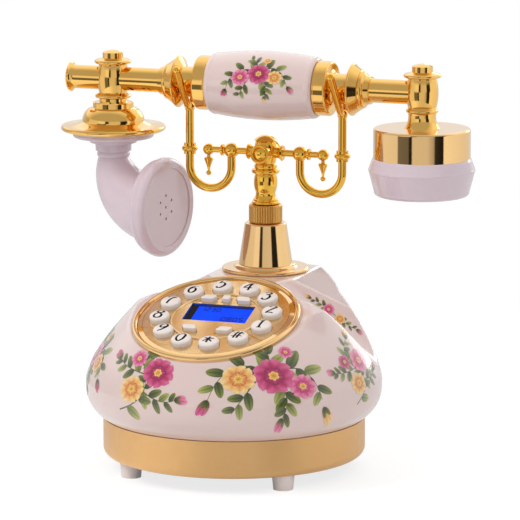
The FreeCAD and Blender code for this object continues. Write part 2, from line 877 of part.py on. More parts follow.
def make_ringer():
    """A round sounder on the bottom cover, in front of the board."""
    turned("ringer", [
        (0, 0),
        (s.ringer_radius, 0),
        (s.ringer_radius, s.ringer_height * 0.6),
        (s.ringer_radius * 0.55, s.ringer_height),
        (0, s.ringer_height),
    ], point(0, -s.board_depth / 2 - s.ringer_radius - 2, cover_top))


def make_jacks():
    """Two modular sockets in the back of the plinth."""
    for label, side in (("line_jack", -1), ("handset_jack", 1)):
        body = new_body(label)
        sketch = new_sketch(body, "XZ_Plane")
        add_rectangle(sketch, s.jack_width - 2 * s.fit_gap, s.jack_height - 2 * s.fit_gap)
        pad(body, sketch, s.jack_depth)
        mouth = new_sketch(body, "XZ_Plane")
        add_rectangle(mouth, s.jack_width - 2 * s.jack_wall, s.jack_height - 2 * s.jack_wall)
        pocket(body, mouth, s.jack_depth - s.jack_wall, reverse=True)
        half_width = s.jack_spacing / 2 + s.jack_width / 2
        flush = math.sqrt(number(s.plinth_radius) ** 2 - number(half_width) ** 2)
        body.Placement = FreeCAD.Placement(
            point(side * s.jack_spacing / 2, flush, cover_top + s.jack_height / 2), upright)


# Pedestal, collar and plunger switch

pedestal_bore = s.stem_radius + s.running_gap


def make_pedestal():
    """The flange with a rounded edge, a bead and the cone above it, bored for the plunger."""
    bead = s.flange_thickness * 0.7
    lip = s.flange_thickness / 2
    turned("pedestal", [
        (pedestal_bore, 0),
        (s.flange_radius - lip, 0),
        arc((s.flange_radius, lip), (s.flange_radius - lip, s.flange_thickness)),
        (s.cone_foot_radius + 2 * bead, s.flange_thickness),
        arc((s.cone_foot_radius + bead, s.flange_thickness + bead),
            (s.cone_foot_radius, s.flange_thickness + bead)),
        (s.cone_top_radius + 0.5, s.flange_thickness + s.cone_height - 1),
        arc((s.cone_top_radius + 0.3, s.flange_thickness + s.cone_height - 0.3),
            (s.cone_top_radius - 0.6, s.flange_thickness + s.cone_height)),
        (pedestal_bore, s.flange_thickness + s.cone_height),
    ], point(0, s.pedestal_back, platform_height))


def make_knurled_collar():
    """A straight-knurled collar that guides the plunger."""
    body = new_body("knurled_collar")
    bevel = 0.9
    revolve(body, [
        (pedestal_bore, 0),
        (s.collar_radius - bevel, 0),
        (s.collar_radius, bevel),
        (s.collar_radius, s.collar_height - bevel),
        (s.collar_radius - bevel, s.collar_height),
        (pedestal_bore, s.collar_height),
    ])
    notch = new_sketch(body, "XY_Plane", 0)
    depth = 0.5
    half = 0.45
    add_outline(notch, [
        (s.collar_radius - depth, 0),
        (s.collar_radius + depth, -2 * half),
        (s.collar_radius + depth, 2 * half),
    ])
    cut = pocket(body, notch, s.collar_height, reverse=True)
    around(body, cut, 40)
    body.Placement = FreeCAD.Placement(point(0, s.pedestal_back, cone_top), upright)


def make_hook_switch():
    """The switch under the plunger, hung from the platform on two legs."""
    body = new_body("hook_switch")
    ceiling = s.stem_reach - s.shell_wall + s.seat_gap
    leg_inner = s.clip_radius + 2.5
    leg_outer = leg_inner + 3
    depth = s.clip_radius
    box_height = 10
    base = new_sketch(body, "XY_Plane", -box_height)
    add_rectangle(base, 2 * leg_outer, 2 * depth)
    pad(body, base, box_height)
    legs = new_sketch(body, "XY_Plane", 0)
    for side in (-1, 1):
        add_rectangle(legs, leg_outer - leg_inner, 2 * depth * 0.6, side * (leg_inner + leg_outer) / 2, 0)
    pad(body, legs, ceiling)
    body.Placement = FreeCAD.Placement(
        point(0, s.pedestal_back, plunger_foot - s.seat_gap), upright)


# Cradle

def make_column():
    """The turned column with its bulb, and the plunger stem below it."""
    tall = s.column_height
    ring = s.column_ring_radius
    waist = s.column_waist_radius
    bulb = s.column_bulb_radius
    stem_foot = plunger_foot - column_foot
    clip_gap = s.clip_thickness + 0.2
    clip_foot = platform_height - s.shell_wall - s.plunger_travel - s.seat_gap - clip_gap - column_foot
    groove = s.stem_radius - 1
    turned("column", [
        (0, stem_foot),
        (s.stem_radius, stem_foot),
        (s.stem_radius, clip_foot),
        (groove, clip_foot),
        (groove, clip_foot + clip_gap),
        (s.stem_radius, clip_foot + clip_gap),
        (s.stem_radius, 0),
        (ring - 0.6, 0),
        arc((ring, 0.9), (ring - 0.6, 1.8)),
        (ring - 1.2, 2.2),
        arc((ring - 0.9, 2.8), (ring - 1.4, 3.4)),
        arc((waist, tall * 0.19), (waist + 0.5, tall * 0.26)),
        arc((bulb, tall * 0.41), (waist + 0.4, tall * 0.585)),
        (ring - 0.5, tall * 0.6),
        arc((ring, tall * 0.637), (ring - 0.5, tall * 0.675)),
        (s.hub_radius - 0.4, tall * 0.69),
        arc((s.hub_radius - 0.1, tall * 0.74), (s.hub_radius - 1.2, tall * 0.79)),
        (0, tall * 0.79),
    ], point(0, s.pedestal_back, column_foot))
    turned("stem_clip", [
        (groove + s.fit_gap, 0),
        (s.clip_radius, 0),
        (s.clip_radius, s.clip_thickness),
        (groove + s.fit_gap, s.clip_thickness),
    ], point(0, s.pedestal_back, column_foot + clip_foot + 0.1))


def make_hub():
    """The cross fitting: a round block with a cap, front and back bosses and flared side sockets."""
    body = new_body("hub")
    foot = -(s.column_height * 0.21)
    revolve(body, [
        (0, foot),
        (s.hub_radius - 1.2, foot),
        arc((s.hub_radius, 0), (s.hub_radius - 1, s.hub_cap_height * 0.62)),
        (s.hub_radius, s.hub_cap_height * 0.7),
        crown(s.hub_radius, s.hub_cap_height * 0.7, s.hub_cap_height),
    ])
    boss = s.hub_boss_radius
    front = [
        (0, 0),
        (boss - 0.5, 0),
        (boss - 0.5, s.hub_half_depth - 2.4),
        (boss, s.hub_half_depth - 1.6),
        arc((boss - 0.9, s.hub_half_depth), (boss - 1.9, s.hub_half_depth - 1.4)),
        crown(boss - 1.9, s.hub_half_depth - 1.4, s.hub_half_depth + 0.3),
    ]
    for side in (-1, 1):
        revolve(body, [mirrored(entry, side) for entry in front], "YZ_Plane", "H_Axis")
    socket = [
        (0, 0),
        (3.6, 0),
        (3.6, s.hub_radius),
        arc((4.0, s.hub_socket_reach - 2.2), (5.2, s.hub_socket_reach - 0.8)),
        (4.6, s.hub_socket_reach),
        (0, s.hub_socket_reach),
    ]
    for side in (-1, 1):
        revolve(body, [mirrored(entry, side) for entry in socket], "XZ_Plane", "H_Axis")
    bore = new_sketch(body, "YZ_Plane", s.hub_socket_reach)
    add_circle(bore, s.arm_radius + s.fit_gap)
    pocket(body, bore, s.hub_socket_reach - s.arm_root)
    other = new_sketch(body, "YZ_Plane", -s.hub_socket_reach)
    add_circle(other, s.arm_radius + s.fit_gap)
    pocket(body, other, s.hub_socket_reach - s.arm_root, reverse=True)
    body.Placement = FreeCAD.Placement(point(0, s.pedestal_back, arm_height), upright)


def mirrored(entry, side):
    """An outline entry of (radius, distance) laid along the plane's first axis, to one side."""
    if entry[0] == "arc":
        return arc(mirrored(entry[1], side), mirrored(entry[2], side))
    radius, distance = entry
    return (side * distance, radius)


def make_arms():
    """The rods that carry the hooks, each with a collar and an end ball, and the pendants under the balls."""
    start = s.arm_root + s.seat_gap
    collar = s.ball_offset + s.ball_radius + 1.2
    end = s.pendant_offset
    ball = s.pendant_ball_radius
    thin = s.arm_radius - 0.2
    ball_start = end - math.sqrt(number(ball) ** 2 - number(thin) ** 2)
    outline = [
        (0, start),
        (s.arm_radius, start),
        (s.arm_radius, collar - 1.0),
        (s.arm_radius + 1.5, collar - 0.6),
        (s.arm_radius + 1.5, collar + 0.6),
        (thin, collar + 1.0),
        (thin, ball_start),
        arc((ball, end), (0, end + ball)),
    ]
    length = s.pendant_length
    drop = s.pendant_drop_radius
    waist = drop * 0.4
    pendant = [
        (0, 0),
        arc((drop, drop), (waist, drop + math.sqrt(number(drop) ** 2 - number(waist) ** 2))),
        (1.1, length * 0.42),
        (3.1, length * 0.83),
        (2.4, length * 0.89),
        (1.2, length * 0.91),
        (1.2, length),
        (0, length),
    ]
    hang = arm_height - s.pendant_ball_radius - s.fit_gap - length
    for name, side, rotation in (("right", 1, along_right), ("left", -1, along_left)):
        turned("arm_" + name, outline, point(0, s.pedestal_back, arm_height), rotation)
        turned("pendant_" + name, pendant, point(side * end, s.pedestal_back, hang))


def make_hooks():
    """Two hooks: a ball bored for the arm, a bent rod with a ring, and a fork for the handset."""
    bend_height = -s.hook_drop
    middle = s.ball_offset + s.hook_bend_radius
    tip_across = s.fork_prong_length * math.sin(fork_angle)
    tip_up = s.fork_rise + s.fork_prong_length * math.cos(fork_angle)
    turn_along = s.fork_bend_radius * math.cos(fork_angle)
    foot_rise = s.fork_bend_radius / math.sin(fork_angle) - s.fork_bend_radius
    turn_up = s.fork_rise + turn_along / math.tan(fork_angle)
    fork_direction = FreeCAD.Vector(0, math.sin(fork_angle), -math.cos(fork_angle))
    for name, rotation in (("right", upright), ("left", half_turn)):
        body = new_body("hook_" + name)
        pipe(body, "XZ_Plane", [
            (s.ball_offset, 0),
            (s.ball_offset, bend_height),
            arc((middle, bend_height - s.hook_bend_radius), (hook_offset, bend_height)),
            (hook_offset, s.fork_rise + foot_rise),
        ], s.hook_radius, FreeCAD.Vector(0, 0, -1))
        add_ball(body, s.ball_radius, s.ball_offset, 0, 0)
        add_hook_ring(body)
        pipe(body, "YZ_Plane", [
            (-tip_across, tip_up),
            (-turn_along, turn_up),
            arc((0, s.fork_rise + foot_rise), (turn_along, turn_up)),
            (tip_across, tip_up),
        ], s.prong_radius, fork_direction, hook_offset)
        add_ball(body, s.knuckle_radius, hook_offset, 0, s.fork_rise + foot_rise - 0.6)
        for side in (-1, 1):
            add_ball(body, s.prong_radius + 0.25, hook_offset, side * tip_across, tip_up)
        bore = new_sketch(body, "YZ_Plane", s.ball_offset - s.ball_radius - 1)
        add_circle(bore, s.arm_radius + s.fit_gap)
        pocket(body, bore, 2 * s.ball_radius + 2, reverse=True)
        body.Placement = FreeCAD.Placement(point(0, s.pedestal_back, arm_height), rotation)


def add_ball(body, radius, x, y, z):
    """A ball fused to a body: on the arm, at the fork's knuckle or on a prong's tip."""
    ball = body.newObject("PartDesign::AdditiveSphere", body.Label + "_ball")
    ball.setExpression("Radius", formula(radius))
    ball.Placement = FreeCAD.Placement(point(x, y, z), upright)


def add_hook_ring(body):
    """The ring turned on the outer rod, level with the arm."""
    bead = body.newObject("PartDesign::AdditiveTorus", body.Label + "_bead")
    bead.setExpression("Radius1", formula(s.hook_radius + 0.6))
    bead.setExpression("Radius2", formula(s.hook_collar_radius - s.hook_radius - 0.6))
    bead.Placement = FreeCAD.Placement(point(hook_offset, 0, 0), upright)
    rings = body.newObject("PartDesign::AdditiveCylinder", body.Label + "_rings")
    rings.setExpression("Radius", formula(s.hook_radius + 1.2))
    rings.setExpression("Height", formula(2 * (s.hook_collar_radius - s.hook_radius) + 2))
    rings.Placement = FreeCAD.Placement(
        point(hook_offset, 0, -(s.hook_collar_radius - s.hook_radius) - 1), upright)


# Handset

groove_half_width = s.prong_radius + 1.1
groove_near = hook_offset - groove_half_width
groove_far = hook_offset + groove_half_width
bell_end = groove_far + s.bell_length
axis_place = point(0, s.pedestal_back, handset_height)


def end_place(side, drop):
    """A place on the upright axis of the mouth (-1) or ear (+1) end, below the handset's axis."""
    return point(side * s.end_offset, s.pedestal_back, handset_height - drop)


def make_grip():
    """The barrel-shaped grip."""
    half = s.grip_half_length
    near_end = half - 4
    shoulder = s.grip_end_radius + 1.6
    turned("grip", [
        (0, -half),
        (s.grip_end_radius, -half),
        arc((s.grip_end_radius + 1.1, -half + 1.2), (shoulder, -near_end)),
        arc((s.grip_radius, 0), (shoulder, near_end)),
        arc((s.grip_end_radius + 1.1, half - 1.2), (s.grip_end_radius, half)),
        (0, half),
    ], axis_place, along_right)


def make_necks():
    """The turned gold ends of the grip: collar, groove for the fork, bell and steps."""
    start = s.grip_half_length
    collar_end = start + s.neck_collar_length
    groove = s.neck_groove_radius
    bell = s.bell_radius
    step = s.bell_step_radius
    end = s.bell_end_radius
    outline = [
        (0, start),
        (s.neck_collar_radius - 0.6, start),
        arc((s.neck_collar_radius, start + 0.7), (s.neck_collar_radius, start + 1.6)),
        (s.neck_collar_radius, collar_end - 1.6),
        arc((s.neck_collar_radius - 0.5, collar_end - 0.4), (s.neck_collar_radius - 1.8, collar_end)),
        (groove + 2.4, collar_end),
        arc((groove + 0.5, collar_end + (groove_near - collar_end) * 0.45), (groove, groove_near)),
        (groove, groove_far),
        (bell - 0.7, groove_far + s.bell_length * 0.2),
        arc((bell, groove_far + s.bell_length * 0.24), (bell - 0.7, groove_far + s.bell_length * 0.28)),
        (step + 0.9, groove_far + s.bell_length * 0.58),
        (step, groove_far + s.bell_length * 0.6),
        arc((step - 0.2, groove_far + s.bell_length * 0.72), (end + 0.8, groove_far + s.bell_length * 0.78)),
        (end, groove_far + s.bell_length * 0.8),
        (end - 0.5, bell_end),
        (0, bell_end),
    ]
    turned("neck_right", outline, axis_place, along_right)
    turned("neck_left", outline, axis_place, along_left)


def make_tubes():
    """The mouth tube, which runs on to a flared end with a cord socket, and the shorter ear tube."""
    tail = s.end_offset + s.mouth_tail
    turned("mouth_tube", [
        (0, bell_end),
        (s.tube_radius, bell_end),
        (s.tube_radius, tail - 5),
        arc((s.tube_radius + 0.5, tail - 2.6), (s.tail_flare_radius, tail - 1)),
        (s.tail_flare_radius - 0.5, tail),
        (s.socket_radius, tail),
        (s.socket_radius, tail - s.socket_depth),
        (0, tail - s.socket_depth),
    ], axis_place, along_left)
    turned("ear_tube", [
        (0, bell_end),
        (s.tube_radius, bell_end),
        (s.tube_radius, s.end_offset + 3),
        (0, s.end_offset + 3),
    ], axis_place, along_right)


def make_cord_socket():
    """The insert in the flared end, open for a small modular plug."""
    body = new_body("cord_socket")
    sketch = new_sketch(body, "XY_Plane", 0)
    add_circle(sketch, s.socket_radius - s.fit_gap)
    pad(body, sketch, s.socket_depth - 1.5)
    mouth = new_sketch(body, "XY_Plane", s.socket_depth - 1.5)
    add_rectangle(mouth, s.socket_radius, s.socket_radius * 1.3)
    pocket(body, mouth, s.socket_depth - 4)
    body.Placement = FreeCAD.Placement(
        point(-(s.end_offset + s.mouth_tail - s.socket_depth), s.pedestal_back, handset_height), along_left)


def fitting_top():
    """The shared upper outline of an end fitting, from its belly to the finial."""
    high = s.fitting_half_height
    return [
        arc((s.fitting_radius, 0), (s.fitting_radius - 1.3, high)),
        (s.brim_radius - 0.9, high + 0.7),
        arc((s.brim_radius, high + 1.9), (s.brim_radius - 1.4, high + 3.2)),
        (s.finial_radius, high + 4.2),
        (s.finial_radius, s.finial_height - 1.6),
        crown(s.finial_radius, s.finial_height - 1.6, s.finial_height),
    ]


def make_fittings():
    """The upright end fittings: ring, belly with a cross bore, brim and finial."""
    high = s.fitting_half_height
    ring = s.brim_radius - 0.3
    mouth_foot = -s.dome_drop
    ear_foot = -s.cup_drop
    neck = s.fitting_neck_radius
    mouth = turned("mouth_fitting", [
        (0, mouth_foot),
        (neck, mouth_foot),
        (neck, -high - 3.4),
        (ring - 0.6, -high - 3.2),
        arc((ring, -high - 2.1), (ring - 0.9, -high - 1)),
        (s.fitting_radius - 1.3, -high),
    ] + fitting_top(), end_place(-1, 0))
    ear = turned("ear_fitting", [
        (0, ear_foot),
        (neck + 2.4, ear_foot),
        arc((neck, ear_foot + 5.2), (neck, -high - 3.4)),
        (s.fitting_radius - 0.6, -high - 3.2),
        arc((s.fitting_radius, -high - 2.1), (s.fitting_radius - 0.9, -high - 1)),
        (s.fitting_radius - 1.3, -high),
    ] + fitting_top(), end_place(1, 0))
    for body, reach in ((mouth, 2 * s.brim_radius), (ear, s.brim_radius + 3 + s.fit_gap)):
        bore = new_sketch(body, "YZ_Plane", -s.brim_radius)
        add_circle(bore, s.tube_radius + s.fit_gap)
        pocket(body, bore, reach, reverse=True)


def make_mouth_dome():
    """The gold bell: a wide brim that flares into a domed side, and a disc on top."""
    top = s.brim_drop - s.dome_drop
    brim = s.mouth_brim_radius
    dome = s.dome_radius
    disc = s.dome_disc_radius
    turned("mouth_dome", [
        (0, 0),
        (brim - 3, 0),
        arc((brim, 1.4), (brim - 0.9, 2.9)),
        arc((dome + 3.6, 4.2), (dome, top * 0.3)),
        arc((dome - 1.1, top * 0.56), (dome - 4.2, top * 0.76)),
        (disc, top * 0.8),
        (disc, top - 0.6),
        (disc - 0.7, top),
        (0, top),
    ], end_place(-1, s.brim_drop))


def make_horn():
    """The white horn: stepped collar, then an elbow whose round section grows towards the mouth."""
    body = new_body("horn_elbow")
    fall = s.horn_start_drop - s.brim_drop
    step = s.horn_step_radius
    neck = s.horn_neck_radius
    revolve(body, [
        (0, 0),
        (neck, 0),
        arc((neck + 0.5, 1.6), (neck, 3.2)),
        (neck + 1.4, 4.0),
        (neck + 1.6, fall * 0.47),
        (neck + 5.0, fall * 0.53),
        (neck + 5.3, fall * 0.68),
        (step - 1.2, fall * 0.72),
        arc((step, fall * 0.78), (step, fall * 0.86)),
        (step, fall),
        (0, fall),
    ])
    bend = number(s.horn_bend_radius)
    reach = number(s.horn_reach - s.horn_rim_depth)
    steps = 5
    rings = []
    for i in range(steps + 1):
        share = i / steps
        angle = math.pi / 2 * share
        middle = FreeCAD.Vector(bend * (1 - math.cos(angle)), 0, -bend * math.sin(angle))
        if i == steps:
            middle.x = max(middle.x, reach)
        way = FreeCAD.Vector(math.sin(angle), 0, -math.cos(angle))
        ring = body.newObject("Sketcher::SketchObject", body.Label + "_ring")
        ring.Placement = FreeCAD.Placement(middle, FreeCAD.Rotation(FreeCAD.Vector(0, 0, 1), way))
        add_circle(ring, neck - 0.5 + (s.horn_back_radius - neck + 0.5) * share ** 0.9)
        rings.append(ring)
    elbow = body.newObject("PartDesign::AdditiveLoft", body.Label + "_loft")
    elbow.Profile = rings[0]
    elbow.Sections = rings[1:]
    turn = FreeCAD.Rotation(FreeCAD.Vector(0, 0, 1), -number(s.horn_turn))
    foot = end_place(-1, s.horn_start_drop)
    body.Placement = FreeCAD.Placement(foot, turn)
    face_back = foot + turn.multVec(FreeCAD.Vector(max(bend, reach), 0, -bend))
    make_horn_face(face_back, turn.multiply(along_right))


def make_horn_face(place, rotation):
    """The two-step rim of the horn and the holed grille inside it."""
    rim = s.horn_rim_radius
    deep = s.horn_rim_depth
    seat = deep - 1.2
    turned("horn_rim", [
        (0, 0),
        (s.horn_back_radius + 3.5, 0),
        arc((rim - 2.3, 1.4), (rim - 1.4, 3.6)),
        (rim - 1.4, deep * 0.5),
        (rim, deep * 0.55),
        arc((rim - 0.6, deep - 2.0), (rim - 3.4, deep)),
        (s.grille_radius + s.fit_gap, deep - 0.4),
        (s.grille_radius + s.fit_gap, seat - s.grille_thickness),
        (0, seat - s.grille_thickness),
    ], place, rotation)
    body = new_body("horn_grille")
    revolve(body, [
        (0, 0),
        (s.grille_radius, 0),
        (s.grille_radius, s.grille_thickness),
        crown(s.grille_radius, s.grille_thickness, s.grille_thickness - 1.3),
    ])
    holes = new_sketch(body, "XY_Plane", s.grille_thickness)
    add_circle(holes, s.grille_hole_radius)
    for i in range(6):
        angle = math.radians(60 * i)
        add_circle(holes, s.grille_hole_radius, s.grille_hole_circle * math.cos(angle),
                   s.grille_hole_circle * math.sin(angle))
    pocket(body, holes, s.grille_thickness)
    body.Placement = FreeCAD.Placement(
        place + rotation.multVec(point(0, 0, seat - s.grille_thickness)), rotation)


def make_earpiece():
    """The gold cup and the white cap with its dished, holed face."""
    cup = s.cup_radius
    turned("ear_cup", [
        (0, 0),
        (cup, 0),
        (cup, s.cup_height - 1.4),
        arc((cup - 0.4, s.cup_height - 0.4), (cup - 1.4, s.cup_height)),
        (0, s.cup_height),
    ], end_place(1, s.cup_drop + s.cup_height))
    body = new_body("ear_cap")
    tall = s.cap_height
    wide = s.cap_radius
    mouth = s.cap_mouth_radius
    revolve(body, [
        (0, s.cap_dish),
        arc(crown_middle(mouth - 6, 0, s.cap_dish), (mouth - 6, 0)),
        (mouth - 2.4, 0),
        arc((mouth - 0.5, 0.8), (mouth + 0.2, 2.6)),
        (wide - 0.3, tall * 0.64),
        arc((wide, tall * 0.68), (wide - 0.3, tall * 0.72)),
        (wide - 2.2, tall - 1.2),
        (wide - 2.8, tall),
        (0, tall),
    ])
    holes = new_sketch(body, "XY_Plane", 0)
    add_circle(holes, s.grille_hole_radius)
    for i in range(6):
        angle = math.radians(60 * i)
        add_circle(holes, s.grille_hole_radius, s.grille_hole_circle * math.cos(angle),
                   s.grille_hole_circle * math.sin(angle))
    pocket(body, holes, 6, reverse=True)
    body.Placement = FreeCAD.Placement(end_place(1, s.cup_drop + s.cup_height + tall), upright)


make_feet()
make_plinth()
make_bottom_cover()
make_body_shell()
make_dial_bezel()
make_dial_plate()
make_number_keys()
make_function_keys()
make_display()
make_keypad()
make_main_board()
make_ringer()
make_jacks()
make_pedestal()
make_knurled_collar()
make_hook_switch()
make_column()
make_hub()
make_arms()
make_hooks()
make_grip()
make_necks()
make_tubes()
make_cord_socket()
make_fittings()
make_mouth_dome()
make_horn()
make_earpiece()

# Checks, then one file per piece

doc.recompute()
failed = [o.Name for o in doc.Objects if "Invalid" in o.State or "Error" in o.State]
if failed:
    raise RuntimeError("failed objects: " + ", ".join(failed))

kinds = ("PartDesign::Body", "Part::Feature", "Part::Box")
pieces = [o for o in doc.Objects if o.TypeId in kinds]
for piece in pieces:
    if piece.Shape.isNull() or not piece.Shape.isValid():
        raise RuntimeError("bad shape: " + piece.Label)

os.makedirs("parts", exist_ok=True)
for piece in pieces:
    piece.Shape.exportStep(f"parts/{piece.Label}.step")
print(len(pieces), "pieces")
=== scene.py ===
# %% [markdown]
# # An ornate push-button telephone
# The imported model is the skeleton: every turned, bent and moulded piece is already there, at its real
# size and on the body that it moves with. This file dresses it. It makes the finishes as node
# materials, replaces the moulded body by one with softer edges, and adds what a solid model leaves out:
# printed flowers, numbers on the keys and figures on the display. Lengths are in millimetres until a
# mesh is written, which is in metres.

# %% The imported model
import json
import math

import bpy
import numpy as np
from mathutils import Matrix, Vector

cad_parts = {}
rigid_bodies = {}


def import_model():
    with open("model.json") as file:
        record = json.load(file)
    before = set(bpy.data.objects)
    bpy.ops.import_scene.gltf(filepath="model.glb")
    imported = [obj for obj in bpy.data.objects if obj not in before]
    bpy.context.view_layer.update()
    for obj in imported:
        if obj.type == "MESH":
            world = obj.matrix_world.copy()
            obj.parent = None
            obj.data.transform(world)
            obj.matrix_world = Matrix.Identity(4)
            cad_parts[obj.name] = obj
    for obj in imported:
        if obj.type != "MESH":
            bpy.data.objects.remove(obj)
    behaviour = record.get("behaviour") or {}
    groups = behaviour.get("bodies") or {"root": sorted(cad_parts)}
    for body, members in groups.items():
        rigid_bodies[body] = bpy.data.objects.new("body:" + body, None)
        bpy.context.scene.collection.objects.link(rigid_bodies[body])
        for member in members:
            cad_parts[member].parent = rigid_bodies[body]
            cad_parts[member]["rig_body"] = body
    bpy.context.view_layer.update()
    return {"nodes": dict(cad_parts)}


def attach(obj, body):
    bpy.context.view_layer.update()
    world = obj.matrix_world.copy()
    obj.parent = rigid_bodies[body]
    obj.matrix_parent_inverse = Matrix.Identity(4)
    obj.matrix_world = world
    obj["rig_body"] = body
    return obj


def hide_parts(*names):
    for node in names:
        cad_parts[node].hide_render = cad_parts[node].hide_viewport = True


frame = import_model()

nodes = frame["nodes"]

# %% [markdown]
# ## Camera
# The photograph was taken from a little to the right of the dial and slightly above, with a long lens.
# A camera is placed by an azimuth, an elevation and a distance from a point that it looks at, which is
# easier to match with a photograph than a typed position.

# %% Camera at the photograph's angle
PHOTO_PIXELS = 520
FOCAL_PIXELS = 4117.7
SENSOR = 36.0
CAMERA_AZIMUTH = 19.5
CAMERA_ELEVATION = 10.17
CAMERA_DISTANCE = 2.6
TARGET = Vector((15.46, 5.48, 133.0)) / 1000
scene = bpy.context.scene


def back_vector(azimuth, elevation):
    """From the target to the camera: azimuth 0 is in front of the dial, elevation is above the horizon."""
    a = math.radians(azimuth)
    e = math.radians(elevation)
    return Vector((math.sin(a) * math.cos(e), -math.cos(a) * math.cos(e), math.sin(e)))


def link_object(name, data):
    """A new object that shows the data, linked into the scene."""
    thing = bpy.data.objects.new(name, data)
    scene.collection.objects.link(thing)
    return thing


def aim(thing, azimuth, elevation, distance):
    """Place a camera or a lamp at a distance in metres from the target, and turn it to look there."""
    thing.location = TARGET + distance * back_vector(azimuth, elevation)
    thing.rotation_euler = (TARGET - thing.location).to_track_quat("-Z", "Y").to_euler()


camera_data = bpy.data.cameras.new("photo_camera")
camera_data.sensor_width = SENSOR
camera_data.lens = FOCAL_PIXELS / PHOTO_PIXELS * SENSOR
camera_data.clip_end = 100
camera = link_object("photo_camera", camera_data)
aim(camera, CAMERA_AZIMUTH, CAMERA_ELEVATION, CAMERA_DISTANCE)
scene.camera = camera
scene.view_settings.view_transform = "Standard"
print("lens", round(camera_data.lens, 1), "mm")

# %% [markdown]
# ## Node helpers
# Colours are written as sRGB hex, the way a paint program shows them, and turned to linear light once.
# One function adds any node: its settings are keyword arguments, and its sockets take numbers or other
# sockets. No real finish is quite even, so three more make soft patches: of two near tones, of a value
# that wanders, and of dents.

# %% Colours and nodes


def colour(text):
    """A hex colour such as d0a040 as linear red, green, blue and alpha."""
    srgb = np.array([int(text[i:i + 2], 16) for i in (0, 2, 4)]) / 255
    linear = np.where(srgb <= 0.04045, srgb / 12.92, ((srgb + 0.055) / 1.055) ** 2.4)
    return (*linear.tolist(), 1.0)


def plug(tree, node, sockets):
    """Give each named socket of a node its value, or a link where the value is another node's output."""
    for name, value in sockets.items():
        if isinstance(value, bpy.types.NodeSocket):
            tree.links.new(value, node.inputs[name])
        else:
            node.inputs[name].default_value = value


def add(tree, kind, sockets=None, **settings):
    """Add a node of any kind to a tree, with its settings and its sockets."""
    node = tree.nodes.new("ShaderNode" + kind)
    for name, value in settings.items():
        setattr(node, name, value)
    plug(tree, node, sockets or {})
    return node


def new_material(name):
    """An empty material: its tree, its shader and the place of a point on the piece, in metres."""
    material = bpy.data.materials.new(name)
    material.use_nodes = True
    tree = material.node_tree
    shader = tree.nodes["Principled BSDF"]
    place = add(tree, "TexCoord").outputs["Object"]
    return material, tree, shader, place


def per_metre(size):
    """The scale of a noise whose patches are about size millimetres."""
    return 1000 / size


def two_tones(tree, place, first, second, size):
    """Two near colours that take turns in soft patches of about size millimetres."""
    patches = add(tree, "TexNoise", {"Vector": place, "Scale": per_metre(size)})
    tones = {0: patches.outputs["Fac"], 6: colour(first), 7: colour(second)}
    return add(tree, "Mix", tones, data_type="RGBA").outputs[2]


def wandering(tree, place, least, most, size, detail=2.0):
    """A value that wanders between two limits, in patches of about size millimetres."""
    noise = add(tree, "TexNoise", {"Vector": place, "Scale": per_metre(size), "Detail": detail})
    limits = {"Value": noise.outputs["Fac"], "To Min": least, "To Max": most}
    return add(tree, "MapRange", limits).outputs["Result"]


def dented(tree, place, size, depth, strength, detail=2.0):
    """A surface normal that is bent by dents of about a size and a depth in millimetres."""
    noise = add(tree, "TexNoise", {"Vector": place, "Scale": per_metre(size), "Detail": detail})
    dents = {"Height": noise.outputs["Fac"], "Distance": depth / 1000, "Strength": strength}
    return add(tree, "Bump", dents).outputs["Normal"]


print("white in linear light", colour("ffffff"))

# %% [markdown]
# ## Lacquered resin
# The body is a cast resin shell, sprayed with a pinkish white lacquer. What the eye gets is a soft,
# milky colour under a clear, wet-looking coat. Sprayed lacquer is never quite flat, so a very shallow
# swell, about a centimetre from crest to crest, bends the reflections in the coat.

# %% Lacquered resin


def lacquered_resin():
    """Pinkish white lacquer over cast resin, with broad clouds of colour and a swell in the coat."""
    material, tree, shader, place = new_material("lacquered_resin")
    tint = two_tones(tree, place, "e0c6c1", "e6cec8", size=60)
    swell = dented(tree, place, size=11, depth=0.04, strength=0.25, detail=1.0)
    plug(tree, shader, {"Base Color": tint, "Roughness": 0.34, "Coat Weight": 1.0,
                        "Coat Roughness": 0.03, "Coat Normal": swell})
    return material


resin = lacquered_resin()
print("made", resin.name)

# %% [markdown]
# ## Moulded plastics
# The handset's pale pieces are ABS, a little cooler than the body, with a lavender cast in the shade.
# The keys are acrylic, the feet and the mat are soft. Moulded plastic shows its tool: polished areas
# and slightly duller ones a few millimetres wide, so the roughness wanders by some hundredths.

# %% Moulded plastics


def moulded_plastic(name, first, second, roughness, coat=0.0):
    """Moulded plastic: two near colours in broad patches, roughness in small ones, a faint orange peel."""
    material, tree, shader, place = new_material(name)
    tint = two_tones(tree, place, first, second, size=35)
    polish = wandering(tree, place, roughness - 0.04, roughness + 0.04, size=5)
    peel = dented(tree, place, size=1.5, depth=0.01, strength=0.2)
    plug(tree, shader, {"Base Color": tint, "Roughness": polish, "IOR": 1.53, "Coat Weight": coat,
                        "Normal": peel})
    return material


white_abs = moulded_plastic("white_abs", "dac6cf", "e1ced5", 0.24, coat=0.6)
ivory_acrylic = moulded_plastic("ivory_acrylic", "efe3dc", "f4e9e3", 0.16)
black_abs = moulded_plastic("black_abs", "0c0c0d", "151516", 0.38)
white_rubber = moulded_plastic("white_rubber", "f6ebe8", "f0e4e1", 0.55)
grey_silicone = moulded_plastic("grey_silicone", "bdbdbb", "c8c8c6", 0.5)
green_laminate = moulded_plastic("green_laminate", "174a26", "1e5a30", 0.35)
print("made six plastics")

